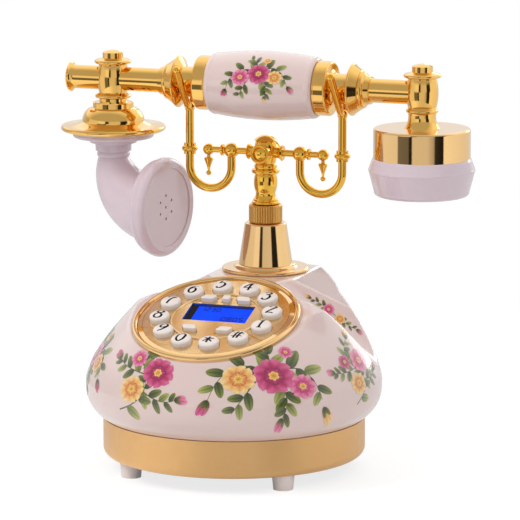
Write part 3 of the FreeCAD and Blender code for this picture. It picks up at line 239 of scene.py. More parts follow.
# %% [markdown]
# ## Gold plating
# Plating is a mirror with a colour. The polished pieces show only the fine haze of the buffing wheel.
# The plated plastic shells are palest, the handset's turned pieces are richer in colour, and the
# cradle's brass is deepest. A thin clear varnish keeps them from tarnishing and adds a white edge to
# the reflections. The band round the base is satin: fine bead blasting before plating breaks every
# reflection up into a broad glow. Real blasting is finer than a pixel, so its grain is drawn as coarse
# as it needs to be to show.

# %% Gold plating


def plating(name, first, second, roughness, grain=0.8, depth=0.003, coat=0.3):
    """A plated metal: two near colours, roughness in patches, a grain of a size and a depth in mm."""
    material, tree, shader, place = new_material(name)
    tint = two_tones(tree, place, first, second, size=25)
    haze = wandering(tree, place, roughness * 0.7, roughness * 1.3, size=4)
    marks = dented(tree, place, grain, depth, strength=0.3, detail=3.0)
    plug(tree, shader, {"Base Color": tint, "Metallic": 1.0, "Roughness": haze, "Coat Weight": coat,
                        "Coat Roughness": 0.02, "Normal": marks})
    return material


pale_gold = plating("pale_gold_plating", "f0c88c", "ecbf80", 0.07)
rich_gold = plating("rich_gold_plating", "f5c670", "f0ba5c", 0.08)
bright_brass = plating("bright_brass", "f6c24e", "f0b440", 0.08)
dial_gold = plating("dial_gold_plating", "f8dcaa", "f4d29c", 0.2, depth=0.004, coat=0.2)
satin_gold = plating("satin_gold_plating", "e2b57e", "dbac72", 0.36, grain=0.6, depth=0.02, coat=0.0)
knurl_gold = plating("knurled_gold_plating", "e4b468", "daa658", 0.4, grain=0.5, depth=0.02, coat=0.0)
spring_steel = plating("spring_steel", "b9babb", "c2c3c4", 0.25, grain=0.5, depth=0.005, coat=0.0)
print("made seven platings")

# %% [markdown]
# ## Backlit display and inks
# A blue liquid-crystal panel shines by itself, a little unevenly, because its lamp sits at one side.
# The numbers are screen-printed in black ink. The flowers are a ceramic-style transfer print: their
# colours are stored in the mesh, point by point, and lie under the same clear coat as the lacquer.

# %% Display and inks


def backlit_blue():
    """A blue panel that gives off light in soft patches; its matt window hardly reflects."""
    material, tree, shader, place = new_material("backlit_blue")
    tint = two_tones(tree, place, "0034ff", "0a58ff", size=18)
    plug(tree, shader, {"Base Color": colour("000418"), "Emission Color": tint, "Emission Strength": 1.0,
                        "Roughness": 0.5, "Specular IOR Level": 0.05})
    return material


def printed_ink(name, first, second):
    """Screen-printed ink: two near colours where the ink lies thicker or thinner, nearly matt."""
    material, tree, shader, place = new_material(name)
    tint = two_tones(tree, place, first, second, size=1.2)
    plug(tree, shader, {"Base Color": tint, "Roughness": 0.5, "Specular IOR Level": 0.1})
    return material


def transfer_print():
    """Printed flowers under the coat: the colour is the mesh's own, mottled by the print's grain."""
    material, tree, shader, place = new_material("transfer_print")
    own = add(tree, "Attribute", attribute_name="tint")
    grain = wandering(tree, place, 0.8, 1.15, size=1.4, detail=3.0)
    shade = add(tree, "VectorMath", {0: own.outputs["Color"], 1: grain}, operation="MULTIPLY")
    plug(tree, shader, {"Base Color": shade.outputs[0], "Roughness": 0.34, "Coat Weight": 1.0,
                        "Coat Roughness": 0.03})
    return material


display_blue = backlit_blue()
# The numbers' black ink also colours the painted shadow along the display's left and upper edges.
black_ink_and_painted_shadow = printed_ink("black_ink_and_painted_shadow", "0b0b0c", "171515")
display_ink = printed_ink("display_ink", "01084c", "020c60")
flower_print = transfer_print()
print("made", display_blue.name, black_ink_and_painted_shadow.name, display_ink.name, flower_print.name)

# %% [markdown]
# ## Dress the solids
# Every solid keeps its own mesh and takes one of the finishes, also those inside that the camera never
# sees. The palest gold is on the plated shells: the cone, the ear cup and the dial's rim. The handset's
# turned pieces and the mouthpiece's dome are the richer gold, and the cradle is bright brass.

# %% Finishes on the solids
key_nodes = [name for name in nodes if name.startswith("key_")]
finish_of = {
    white_abs: ["horn_elbow", "horn_rim", "horn_grille", "ear_cap"],
    pale_gold: ["pedestal", "ear_cup", "dial_bezel"],
    rich_gold: ["ear_tube", "mouth_tube", "neck_left", "neck_right", "mouth_fitting", "ear_fitting",
                "mouth_dome"],
    bright_brass: ["column", "hub", "arm_left", "arm_right", "hook_left", "hook_right", "pendant_left",
                   "pendant_right"],
    dial_gold: ["dial_plate"],
    satin_gold: ["plinth"],
    knurl_gold: ["knurled_collar"],
    ivory_acrylic: key_nodes,
    black_abs: ["display_frame", "line_jack", "handset_jack", "cord_socket", "bottom_cover", "hook_switch",
                "ringer"],
    white_rubber: [name for name in nodes if name.startswith("foot_")],
    grey_silicone: ["keypad_mat"],
    green_laminate: ["keypad_board", "main_board"],
    spring_steel: ["stem_clip"],
    display_blue: ["display_panel"],
    resin: ["body_shell", "grip"],
}
for material, names in finish_of.items():
    for name in names:
        slots = nodes[name].data.materials
        slots.clear()
        slots.append(material)
print(sum(len(names) for names in finish_of.values()), "solids dressed")

# %% [markdown]
# ## The body's shape
# The real body is one moulding: a round skirt, a sloping cap with a level top, a front dome that
# carries the dial, and in each flank a flat facet and a scooped cove. Its edges melt into each other,
# which a solid built from lofts can't show. Here each form is a field, a function that is negative
# inside the form. Two forms are joined with a soft minimum instead of a hard one, and that rounds every
# inner and outer corner by itself.

# %% Sizes of the body
# Heights are measured from the desk. The seam and the bulge are round about the base's axis, and the
# seat about the dial's.
SEAM_HEIGHT = 33.9
BULGE_HEIGHT = 57.0
DECK_HEIGHT = 104.9
PLATFORM_HEIGHT = 116.7
BULGE_RADIUS = 94.0
SEAM_RADIUS = 82.6
DECK_HALF_WIDTH = 64.0
PLATFORM_HALF_WIDTH = 44.0
PLATFORM_FRONT = 8.0
BODY_REAR = 90.0
CAP_OVERLAP = 4
DOME_RADIUS = 92.0
DOME_UNDERCUT = 0.6
UNDERCUT_DEPTH = 25
SEAT_RADIUS = 53.9
DIAL_RADIUS = 52.7
SEAT_DEPTH = 2.5
DIAL_TILT = math.radians(18.8)
DIAL_NORMAL = np.array([0, -math.sin(DIAL_TILT), math.cos(DIAL_TILT)])
DIAL_UP = np.array([0, math.cos(DIAL_TILT), math.sin(DIAL_TILT)])
DIAL_CENTRE = np.array([0, -33.2, 102.4])
SEAT = DIAL_CENTRE - SEAT_DEPTH * DIAL_NORMAL
DOME_RISE = SEAT[2] - BULGE_HEIGHT
print("the bulge is", 2 * BULGE_RADIUS, "mm across and the dial's seat", 2 * SEAT_RADIUS, "mm")

# %% [markdown]
# The skirt and the cap are stacks of level outlines, each of a size that follows from its height. The
# front dome is a stack of circles that lean more and more, because the dial that it carries is tilted.

# %% Skirt, cap and front dome


def soft_max(a, b, width):
    """The larger of two fields, rounded over a width where they are nearly equal."""
    share = np.clip(0.5 + 0.5 * (a - b) / width, 0, 1)
    return b + (a - b) * share + width * share * (1 - share)


def rounded_section(x, y, half_width, front, rear, power):
    """Distance from an outline |x/a|^power + |y/b|^power = 1: an ellipse at power 2, squarer above it."""
    half_depth = (rear - front) / 2
    reach = np.abs(x / half_width) ** power + np.abs((y - (front + rear) / 2) / half_depth) ** power
    return (reach ** (1 / power) - 1) * np.minimum(half_width, half_depth)


def skirt(x, y, z):
    """Round sections that swell by a cube from the seam to the bulge, then narrow by a power of 1.5 to
    the deck."""
    low = np.clip((z - SEAM_HEIGHT) / (BULGE_HEIGHT - SEAM_HEIGHT), -0.1, 1)
    high = np.clip((z - BULGE_HEIGHT) / (DECK_HEIGHT - BULGE_HEIGHT), 0, 1)
    swell = BULGE_RADIUS - (BULGE_RADIUS - SEAM_RADIUS) * (1 - low) ** 3
    half_width = swell - (BULGE_RADIUS - DECK_HALF_WIDTH) * high ** 1.5
    rear = swell - (BULGE_RADIUS - BODY_REAR) * high
    return np.maximum(rounded_section(x, y, half_width, -half_width, rear, 2), z - DECK_HEIGHT)


def cap(x, y, z):
    """Sections that shrink in a straight line from the deck's outline to the platform's."""
    share = np.clip((z - DECK_HEIGHT) / (PLATFORM_HEIGHT - DECK_HEIGHT), 0, 1)
    half_width = DECK_HALF_WIDTH + (PLATFORM_HALF_WIDTH - DECK_HALF_WIDTH) * share
    front = -DECK_HALF_WIDTH + (PLATFORM_FRONT + DECK_HALF_WIDTH) * share
    outline = rounded_section(x, y, half_width, front, BODY_REAR, 2 + share)
    return np.maximum(outline, DECK_HEIGHT - CAP_OVERLAP - z)


def by_leaning_circle(y, z, share):
    """Where a point is by the dome's circle at a share of the rise: how far along its plane and off it."""
    lean = DIAL_TILT * share
    over = z - BULGE_HEIGHT - DOME_RISE * share
    behind = y - SEAT[1] * share ** 1.5
    return behind * np.cos(lean) + over * np.sin(lean), over * np.cos(lean) - behind * np.sin(lean)


def front_dome(x, y, z):
    """Circles that shrink, lean and move forward from the bulge to the dial's seat; which circle a point
    belongs to is found by a few steps of correction. Below the bulge they shrink, out of the way."""
    share = np.clip((z - BULGE_HEIGHT) / DOME_RISE, 0, 1)
    for _ in range(8):
        along, off = by_leaning_circle(y, z, share)
        share = np.clip(share + off / DOME_RISE, 0, 1)
    along, off = by_leaning_circle(y, z, share)
    below = np.clip(BULGE_HEIGHT - z, 0, UNDERCUT_DEPTH)
    radius = DOME_RADIUS - (DOME_RADIUS - SEAT_RADIUS) * share ** 1.5 - DOME_UNDERCUT * below
    return np.hypot(x, along) - radius


print("skirt's field on the bulge", skirt(BULGE_RADIUS, 0.0, BULGE_HEIGHT).round(2))

# %% [markdown]
# Two cuts shape each flank. The cove is what a ball scoops out as it rolls down an arc, from beside the
# column to the bulge. The facet is a plane, like one side of a roof, from the platform's edge down to
# the cove.

# %% Coves and facets
# The ball's middle is given at the arc's start, half way and at its end, for the right flank.
COVE_RADIUS = 26.0
COVE_START = np.array([26.0, 16.0, PLATFORM_HEIGHT + 27.3])
COVE_BEND = np.array([DECK_HALF_WIDTH + 10.6, 21.0, DECK_HEIGHT + 5.7])
COVE_END = np.array([BULGE_RADIUS + 26.1, 36.7, BULGE_HEIGHT + 14.8])
ARC_REACH = 0.5
FAR_OUTSIDE = 50.0
FACET_EDGE = 28.8
FACET_FRONT = 14.0
FACET_TILT = math.radians(27.4)
FACET_RISE = 0.4


def circle_through(a, b, c):
    """The centre, the radius and the axis of the circle through three points."""
    u = b - a
    v = c - a
    axis = np.cross(u, v)
    centre = a + (np.cross(axis, u) * (v @ v) + np.cross(v, axis) * (u @ u)) / (2 * axis @ axis)
    return centre, np.linalg.norm(a - centre), axis / np.linalg.norm(axis)


def cove(x, y, z):
    """Distance from a round cutter bent along an arc, the same on both sides. Past the arc's ends, where
    the cosine of the angle from its bend is under the reach, it is far."""
    centre, radius, axis = circle_through(COVE_START, COVE_BEND, COVE_END)
    p = np.stack([np.abs(x), y, z], -1) - centre
    off_plane = p @ axis
    in_plane = np.linalg.norm(p - off_plane[..., None] * axis, axis=-1)
    past_end = p @ (COVE_BEND - centre) / radius < ARC_REACH * in_plane
    return np.where(past_end, FAR_OUTSIDE, np.hypot(in_plane - radius, off_plane) - COVE_RADIUS)


def facet(x, y, z):
    """Height over a sloping plane on each side, like a roof's; in front of the cove the plane bends up
    out of the way."""
    roof = (np.abs(x) - FACET_EDGE) * math.sin(FACET_TILT) + (z - PLATFORM_HEIGHT) * math.cos(FACET_TILT)
    return roof - FACET_RISE * np.maximum(FACET_FRONT - y, 0)


arc_radius = circle_through(COVE_START, COVE_BEND, COVE_END)[1]
print("the cove's arc has a radius of", arc_radius.round(1), "mm")

# %% [markdown]
# The order of the joins matters. The facets trim the skirt and the cap alone, so that they leave the
# dome whole. The level top comes after the dome's join, which would else bulge above it. Then come the
# coves and, at the end, the dial's flat seat.

# %% All forms together
FACET_SOFTNESS = 1.2
DOME_SOFTNESS = 3.0
PLATFORM_SOFTNESS = 1.2
COVE_SOFTNESS = 1.6
SEAT_SOFTNESS = 1.5
SEAT_CLEARANCE = 0.3


def body_field(p):
    """All forms together: negative inside the body."""
    x, y, z = p[..., 0], p[..., 1], p[..., 2]
    form = np.minimum(skirt(x, y, z), cap(x, y, z))
    form = soft_max(form, facet(x, y, z), FACET_SOFTNESS)
    form = -soft_max(-form, -front_dome(x, y, z), DOME_SOFTNESS)
    form = soft_max(form, z - PLATFORM_HEIGHT, PLATFORM_SOFTNESS)
    form = soft_max(form, -cove(x, y, z), COVE_SOFTNESS)
    from_seat = p - SEAT
    beside_seat = DIAL_RADIUS + SEAT_CLEARANCE - np.hypot(x, from_seat @ DIAL_UP)
    over_seat = np.minimum(from_seat @ DIAL_NORMAL, np.maximum(beside_seat, -y))
    return soft_max(form, over_seat, SEAT_SOFTNESS)


print("field at the middle of the body", round(float(body_field(np.array([[0.0, 0.0, 60.0]]))[0]), 1))

# %% [markdown]
# A field becomes a surface by shooting rays at it. Every ray starts inside the body; coarse steps find
# where it leaves, and halving the last step again and again finds the exact place. The rays fan out
# from level ones at the seam to ones along the dial's axis at the seat, so the grid's lines run
# smoothly over the whole body.

# %% Where rays leave the body
HALVINGS = 22
TURN_HEIGHT = 45.0
TURN_RADIUS = 40
UNDER_SEAT = 12
SEAT_INSET = 0.5


def leave_body(start, way, far=160.0, steps=64):
    """For each ray, the first coarse step that is outside, then halvings of that step."""
    spots = np.linspace(0, far, steps)
    outside = body_field(start[..., None, :] + spots[:, None] * way[..., None, :]) > 0
    first = np.argmax(outside, axis=-1)
    near = spots[np.maximum(first - 1, 0)]
    beyond = spots[first]
    for _ in range(HALVINGS):
        middle = (near + beyond) / 2
        inside = body_field(start + middle[..., None] * way) < 0
        near = np.where(inside, middle, near)
        beyond = np.where(inside, beyond, middle)
    return start + near[..., None] * way


def body_rings(columns=500, low_rows=10, rows=180):
    """Rings of points on the body, u around and w upwards: level rays near the seam, then rays that turn
    from level to the dial's axis while their start moves from near the body's axis to under the seat's
    edge."""
    u = np.linspace(0, 2 * math.pi, columns, endpoint=False)
    level = np.stack([np.cos(u), np.sin(u), 0 * u], -1)
    around_seat = np.outer(np.cos(u), [1, 0, 0]) + np.outer(np.sin(u), DIAL_UP)
    low_start = np.zeros((low_rows, columns, 3))
    low_start[..., 2] = np.linspace(SEAM_HEIGHT, TURN_HEIGHT, low_rows, endpoint=False)[:, None]
    low = leave_body(low_start, np.broadcast_to(level, low_start.shape))
    w = np.linspace(0, 1, rows)[:, None, None]
    first_start = np.array([0, 0, TURN_HEIGHT]) + TURN_RADIUS * level
    last_start = SEAT + (SEAT_RADIUS - SEAT_INSET) * around_seat - UNDER_SEAT * DIAL_NORMAL
    start = (1 - w) * first_start + w * last_start
    way = (1 - w) * level + w * DIAL_NORMAL
    high = leave_body(start, way / np.linalg.norm(way, axis=-1, keepdims=True))
    return np.concatenate([low, high]), level, around_seat


outer_rings, level, around_seat = body_rings()
print("body rings", outer_rings.shape)

# %% [markdown]
# The body is hollow, so the grid goes on: over the dial's seat, down the well under the dial, out under
# the ceiling and down the inner wall to the seam, where it meets its first ring. A grid that closes in
# both directions is a ring-shaped sheet with no open edge.

# %% The moulded body


def grid_faces(rows, columns, closed_rows=False, closed_columns=False):
    """Four corners for each cell of a grid whose last row or column may meet the first."""
    r = np.arange(rows if closed_rows else rows - 1)[:, None]
    c = np.arange(columns if closed_columns else columns - 1)[None, :]
    below = r * columns
    above = (r + 1) % rows * columns
    right = (c + 1) % columns
    return np.stack([below + c, below + right, above + right, above + c], -1).reshape(-1, 4)


def new_piece(name, points, faces, material, body, tint=None, sharp_angle=None):
    """A mesh object from points in millimetres: smooth, dressed, riding on a body."""
    mesh = bpy.data.meshes.new(name)
    mesh.vertices.add(len(points))
    mesh.vertices.foreach_set("co", (points / 1000).astype(np.float32).ravel())
    mesh.loops.add(faces.size)
    mesh.loops.foreach_set("vertex_index", faces.ravel().astype(np.int32))
    mesh.polygons.add(len(faces))
    mesh.polygons.foreach_set("loop_start", np.arange(0, faces.size, faces.shape[1], dtype=np.int32))
    if tint is not None:
        layer = mesh.attributes.new("tint", "FLOAT_COLOR", "POINT")
        layer.data.foreach_set("color", tint.astype(np.float32).ravel())
    mesh.update(calc_edges=True)
    mesh.validate()
    mesh.shade_smooth()
    if sharp_angle:
        mesh.set_sharp_from_angle(angle=math.radians(sharp_angle))
    mesh.materials.append(material)
    piece = link_object(name, mesh)
    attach(piece, body)
    return piece


WELL_RADIUS = 46.45
INNER_RADIUS = 78.0
SEAT_LAP = 0.2
seat_edge = SEAT + (DIAL_RADIUS + SEAT_LAP) * around_seat
well_top = SEAT + WELL_RADIUS * around_seat
well_depth = (well_top[:, 2:] - BULGE_HEIGHT) / DIAL_NORMAL[2]
well_foot = well_top - well_depth * DIAL_NORMAL
ceiling_edge = INNER_RADIUS * level + np.array([0, 0, BULGE_HEIGHT])
inner_foot = INNER_RADIUS * level + np.array([0, 0, SEAM_HEIGHT])
inner_rings = np.stack([seat_edge, well_top, well_foot, ceiling_edge, inner_foot])
rings = np.concatenate([outer_rings, inner_rings])
shell_faces = grid_faces(*rings.shape[:2], True, True)
shell = new_piece("moulded_body", rings.reshape(-1, 3), shell_faces, resin, "base",
                  sharp_angle=40)
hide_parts("body_shell")
print("moulded body:", len(shell.data.polygons), "faces")

# %% [markdown]
# ## Printed flowers
# Sprays of flowers are printed on the body and the grip. The design here is a plain cottage one: open
# five-petalled blossoms in magenta, peach and pink on a bent stem, with pointed leaves and closed buds.
# It is drawn flat first, in millimetres: a petal and a leaf are small grids whose half width is a
# function of the place along them, and each point carries its own colour, dark at the foot and paler
# towards the tip.

# %% Petals, leaves and stems
MAGENTA = ("6a0836", "b81f60", "e26c9c")
PINK = ("a01e54", "d64e82", "f2a0bc")
PEACH = ("b84424", "eca452", "fae09a")
LEAF = ("242e0e", "4e5a1c", "8c9440")
YOUNG_LEAF = ("4e5a1e", "828a38", "bebe6c")
EYE = ("a8641c", "e8b030", "fbe38a")


def shaded(palette, share):
    """Three colours spread over a share from 0 to 1."""
    stops = np.array([colour(text) for text in palette])
    spots = [0, 0.5, 1]
    return np.stack([np.interp(share, spots, stops[:, channel]) for channel in range(4)], -1)


def leaf_blade(length, width, palette, tip_notch=0.0, fullness=0.62, columns=9, rows=13):
    """A petal or a leaf: v runs from foot to tip and u from side to side. The half width is an egg,
    widest at the fullness, and a notch draws the middle of the tip back. The colour pales with v and away
    from u = 0, in faint stripes."""
    u, v = np.meshgrid(np.linspace(-1, 1, columns), np.linspace(0.01, 0.99, rows))
    reach = np.where(v < fullness, (v - fullness) / fullness, (v - fullness) / (1 - fullness))
    half = width / 2 * np.sqrt(np.clip(1 - reach ** 2, 0, 1))
    points = np.stack([u * half, length * v - tip_notch * length * (1 - np.abs(u)) * v ** 4], -1)
    share = np.clip(0.75 * v + 0.3 * np.abs(u) - 0.12 * np.cos(7 * u), 0, 1)
    cells = grid_faces(rows, columns)
    return points.reshape(-1, 2), shaded(palette, share).reshape(-1, 4), cells


def turned(points, angle, place=(0, 0), scale=1.0):
    """Flat points scaled, turned anticlockwise by an angle in degrees and moved to a place."""
    c = math.cos(math.radians(angle))
    s = math.sin(math.radians(angle))
    return scale * points @ np.array([[c, s], [-s, c]]) + np.asarray(place)


def ways(line):
    """Unit directions along a line of points, and the directions across it."""
    along = np.gradient(line, axis=0)
    along /= np.linalg.norm(along, axis=1, keepdims=True)
    return along, np.stack([-along[:, 1], along[:, 0]], -1)


def stem_line(start, bend, end, width=0.8, count=15):
    """A ribbon along a curve drawn from start to end towards a bend point, thinner at its end."""
    t = np.linspace(0, 1, count)[:, None]
    line = (1 - t) ** 2 * np.array(start) + 2 * t * (1 - t) * np.array(bend) + t ** 2 * np.array(end)
    along, across = ways(line)
    side = across * width / 2 * (1 - 0.5 * t)
    points = np.stack([line - side, line + side], 1).reshape(-1, 2)
    tint = shaded(YOUNG_LEAF, np.repeat(t[:, 0] * 0.5, 2))
    return (points, tint, grid_faces(count, 2)), line, along


print("a petal has", len(leaf_blade(10, 8, PINK)[0]), "points")

# %% [markdown]
# A spray is a list of such small sheets, each with a height above the body so that a petal lies on a
# leaf and not in it. Layers are a few hundredths of a millimetre apart, as thick as print.

# %% Sprays
FIRST_LAYER = 0.06
LAYER = 0.03
LEAF_SPREAD = 48
LEAF_TAPER = 0.45


class Spray:
    """A flat drawing that grows sheet by sheet: points, heights, colours and faces."""

    def __init__(self):
        self.points, self.heights, self.tints, self.faces = [], [], [], []
        self.count = 0

    def put(self, sheet, layer):
        """Add one sheet at a layer."""
        points, tint, faces = sheet
        self.points.append(points)
        self.heights.append(np.full(len(points), FIRST_LAYER + LAYER * layer))
        self.tints.append(tint)
        self.faces.append(faces + self.count)
        self.count += len(points)

    def put_blade(self, blade, angle, place, layer, squash=1):
        """Add a petal or a leaf that is turned by an angle and has its foot at a place."""
        points, tint, faces = blade
        self.put((turned(points, angle) * squash + np.asarray(place), tint, faces), layer)

    def leafy_stem(self, start, bend, end, leaves, length):
        """A stem with leaves on alternate sides, smaller towards its end."""
        stem, line, way = stem_line(start, bend, end)
        self.put(stem, 0)
        for i in range(leaves):
            spot = int((i + 1) / (leaves + 0.6) * (len(line) - 1))
            side = 1 if i % 2 else -1
            ahead = math.degrees(math.atan2(way[spot, 1], way[spot, 0])) - 90
            angle = ahead + side * LEAF_SPREAD
            size = length * (1 - LEAF_TAPER * i / leaves)
            palette = LEAF if i % 3 else YOUNG_LEAF
            blade = leaf_blade(size, size * 0.5, palette, fullness=0.42)
            self.put_blade(blade, angle, line[spot], 1 + i % 2)

    def blossom(self, place, size, turn, palette, flatten=0.85):
        """Five notched petals, five small ones and a yellow eye, seen a little from the side. Each ring
        has a count of blades, their length and width, colours, a first angle, a layer and a step."""
        squash = np.array([1, flatten])
        rings = [
            (5, 0.5, 0.5, palette, 0, 4, 0.4, {"tip_notch": 0.16}),
            (5, 0.26, 0.2, palette[::-1], 36, 7, 0.2, {}),
            (6, 0.13, 0.09, EYE, 0, 9, 0.1, {"columns": 5, "rows": 7}),
        ]
        for count, length, width, tones, angle, layer, step, shape in rings:
            for i in range(count):
                blade = leaf_blade(size * length, size * width, tones, **shape)
                self.put_blade(blade, turn + angle + 360 / count * i, place, layer + step * i, squash)

    def bud(self, place, size, angle, palette):
        """A closed bud: two petals in a cup of green."""
        for lean, share in ((-9, 1.0), (11, 0.9)):
            petal = leaf_blade(size * share, size * 0.5, palette, fullness=0.45)
            self.put_blade(petal, angle + lean, place, 4 + share)
        for lean in (-24, 24):
            cup = leaf_blade(size * 0.6, size * 0.26, LEAF, fullness=0.35)
            self.put_blade(cup, angle + lean, place, 6)

    def arrays(self):
        """The whole spray as four arrays."""
        return (np.concatenate(self.points), np.concatenate(self.heights), np.concatenate(self.tints),
                np.concatenate(self.faces))


sample = Spray()
sample.blossom((0, 0), 20, 0, PINK)
print("a blossom has", sample.count, "points")

# %% [markdown]
# Three drawings serve for all the places: a crescent for broad ones, an upright S and a slim sprig. A
# stem is given by its start, the point that it bends towards, its end, its number of leaves and their
# length. A blossom has a place, a size, a turn and its colours, and a bud has a place, a size, an angle
# and its colours.

# %% Three designs


def arched_spray(first, second, third):
    """A crescent: a long bent stem with three blossoms along it, buds at its ends, and short side stems."""
    spray = Spray()
    spray.leafy_stem((4, 6), (-22, 20), (-33, -8), 7, 14)
    spray.leafy_stem((4, 6), (26, 20), (34, -10), 7, 14)
    spray.leafy_stem((2, 8), (4, 20), (-6, 24), 5, 11)
    spray.leafy_stem((8, 2), (14, -10), (9, -18), 6, 11)
    spray.leafy_stem((-6, 2), (-14, -8), (-20, -16), 5, 11)
    spray.blossom((4, 5), 25, 10, first)
    spray.blossom((-16, 3), 20, 40, second)
    spray.blossom((21, 0), 17, -12, third)
    spray.blossom((12, 20), 9, 25, third)
    spray.bud((-33, -8), 9, 150, first)
    spray.bud((34, -10), 9, -145, second)
    spray.bud((9, -18), 7, 160, third)
    return spray


def rising_spray(first, second, third):
    """An upright S: a stem that climbs from lower left to upper right, with blossoms on alternate sides."""
    spray = Spray()
    spray.leafy_stem((-16, -18), (10, -12), (0, 4), 6, 11)
    spray.leafy_stem((0, 4), (-10, 18), (14, 24), 7, 11)
    spray.leafy_stem((-2, -4), (14, -14), (24, -8), 6, 10)
    spray.leafy_stem((0, 4), (-18, 6), (-24, 12), 6, 10)
    spray.blossom((-7, -6), 19, 0, first)
    spray.blossom((9, 6), 22, 30, second)
    spray.blossom((-8, 13), 13, 15, third)
    spray.bud((14, 24), 9, -60, first)
    spray.bud((24, -8), 8, -75, third)
    spray.bud((-24, 12), 8, 55, second)
    return spray


def slim_spray(first, second):
    """A sprig for a narrow place: a leafy stem, two small blossoms and a bud at each end."""
    spray = Spray()
    spray.leafy_stem((0, 0), (2, 12), (-1, 24), 6, 8)
    spray.leafy_stem((0, 0), (-2, -12), (2, -24), 6, 8)
    spray.blossom((0.5, 6), 13, 20, first)
    spray.blossom((-0.5, -7), 12, 50, second)
    spray.bud((-1, 24), 7, 5, second)
    spray.bud((2, -24), 7, 185, first)
    return spray


print("an arched spray has", arched_spray(MAGENTA, PEACH, PINK).count, "points")

# %% [markdown]
# A flat spray is laid on the body the way a wet transfer is: it is held in the plane that touches the
# body at the spray's middle, and every point slides along that plane's normal until it meets the
# surface. The surface's own normal, from the slope of the field, then lifts it by its layer.

# %% Lay the sprays on the body
PRESS_DEPTH = 22


def body_normal(p, step=0.05):
    """The direction in which the field grows, from small steps along each axis."""
    slope = np.stack([body_field(p + step * axis) - body_field(p - step * axis) for axis in np.eye(3)], -1)
    return slope / np.linalg.norm(slope, axis=-1, keepdims=True)


def lay_on_body(spray, azimuth, height, scale, turn):
    """Slide a flat spray onto the body, where its middle is at an azimuth from the front and a height."""
    flat, lift, tint, faces = spray.arrays()
    a = math.radians(azimuth)
    outwards = np.array([[math.sin(a), -math.cos(a), 0.0]])
    middle = leave_body(np.array([[0, 0, height]]), outwards)
    normal = body_normal(middle)[0]
    across = np.array([math.cos(a), math.sin(a), 0.0])
    upwards = np.cross(normal, across)
    flat = turned(flat, turn, scale=scale)
    held = middle + flat[:, :1] * across + flat[:, 1:] * upwards
    inside = held - PRESS_DEPTH * normal
    on_body = leave_body(inside, np.broadcast_to(normal, inside.shape), far=2.0 * PRESS_DEPTH, steps=45)
    return on_body + lift[:, None] * body_normal(on_body), tint, faces


# Each place has a name, a drawing, an azimuth and a height, a scale and a turn.
places = [
    ("spray_front_right", arched_spray(MAGENTA, PEACH, PINK), 33, 71, 1.1, -4),
    ("spray_front_left", rising_spray(PEACH, MAGENTA, PINK), -19, 70, 1.05, 0),
    ("spray_left", arched_spray(PINK, MAGENTA, PEACH), -68, 70, 0.9, 8),
    ("spray_right", rising_spray(PEACH, PINK, MAGENTA), 80, 70, 0.85, 15),
    ("spray_cove_right", slim_spray(PINK, PEACH), 120, 96, 1.0, -21),
    ("spray_cove_left", slim_spray(MAGENTA, PINK), -120, 96, 1.0, 21),
    ("spray_rear_right", arched_spray(MAGENTA, PINK, PEACH), 142, 74, 0.95, 0),
    ("spray_rear_left", rising_spray(PEACH, PINK, MAGENTA), -138, 74, 0.95, 0),
]
for name, spray, azimuth, height, scale, turn in places:
    points, tint, faces = lay_on_body(spray, azimuth, height, scale, turn)
    new_piece(name, points, faces, flower_print, "base", tint=tint)
print(len(places), "sprays on the body")

# %% [markdown]
# The grip is a turned barrel, so its spray is wrapped: along the barrel it keeps its place, and around
# it a millimetre is a millimetre of arc. The barrel's radius at each place is read from the solid
# itself.

# %% Spray on the grip
GRIP_SPRAY_SCALE = 0.62
GRIP_SPRAY_TURN = 6
GRIP_SPRAY_ANGLE = math.radians(18)


def mesh_points(name):
    """The vertices of a solid in millimetres."""
    vertices = nodes[name].data.vertices
    flat = np.empty(len(vertices) * 3, np.float32)
    vertices.foreach_get("co", flat)
    return flat.reshape(-1, 3).astype(float) * 1000


grip_points = mesh_points("grip")
grip_axis = (grip_points.min(axis=0) + grip_points.max(axis=0)) / 2
grip_radius = np.hypot(grip_points[:, 1] - grip_axis[1], grip_points[:, 2] - grip_axis[2])
stations = np.linspace(-30, 30, 41)
profile = np.array([grip_radius[np.abs(grip_points[:, 0] - x) < 2.0].max() for x in stations])
flat, lift, tint, faces = arched_spray(MAGENTA, PINK, PEACH).arrays()
flat = turned(flat, GRIP_SPRAY_TURN, scale=GRIP_SPRAY_SCALE)
radius = np.interp(flat[:, 0], stations, profile) + lift
angle = GRIP_SPRAY_ANGLE + flat[:, 1] / profile.mean()
forwards = grip_axis[1] - radius * np.cos(angle)
upwards = grip_axis[2] + radius * np.sin(angle)
grip_spray = np.stack([flat[:, 0], forwards, upwards], -1)
new_piece("spray_grip", grip_spray, faces, flower_print, "handset", tint=tint)
print("grip radius", profile.min().round(2), "to", profile.max().round(2), "mm")

# %% [markdown]
# ## Numbers on the keys
# Each key is printed with a number in a pen-drawn style: thick where the stroke runs down, hair-thin
# where it runs across. A number is a few strokes through a few points; a smooth curve goes through the
# points, and a ribbon follows it whose width depends on the direction. The ribbon then lies on the
# key's domed top.

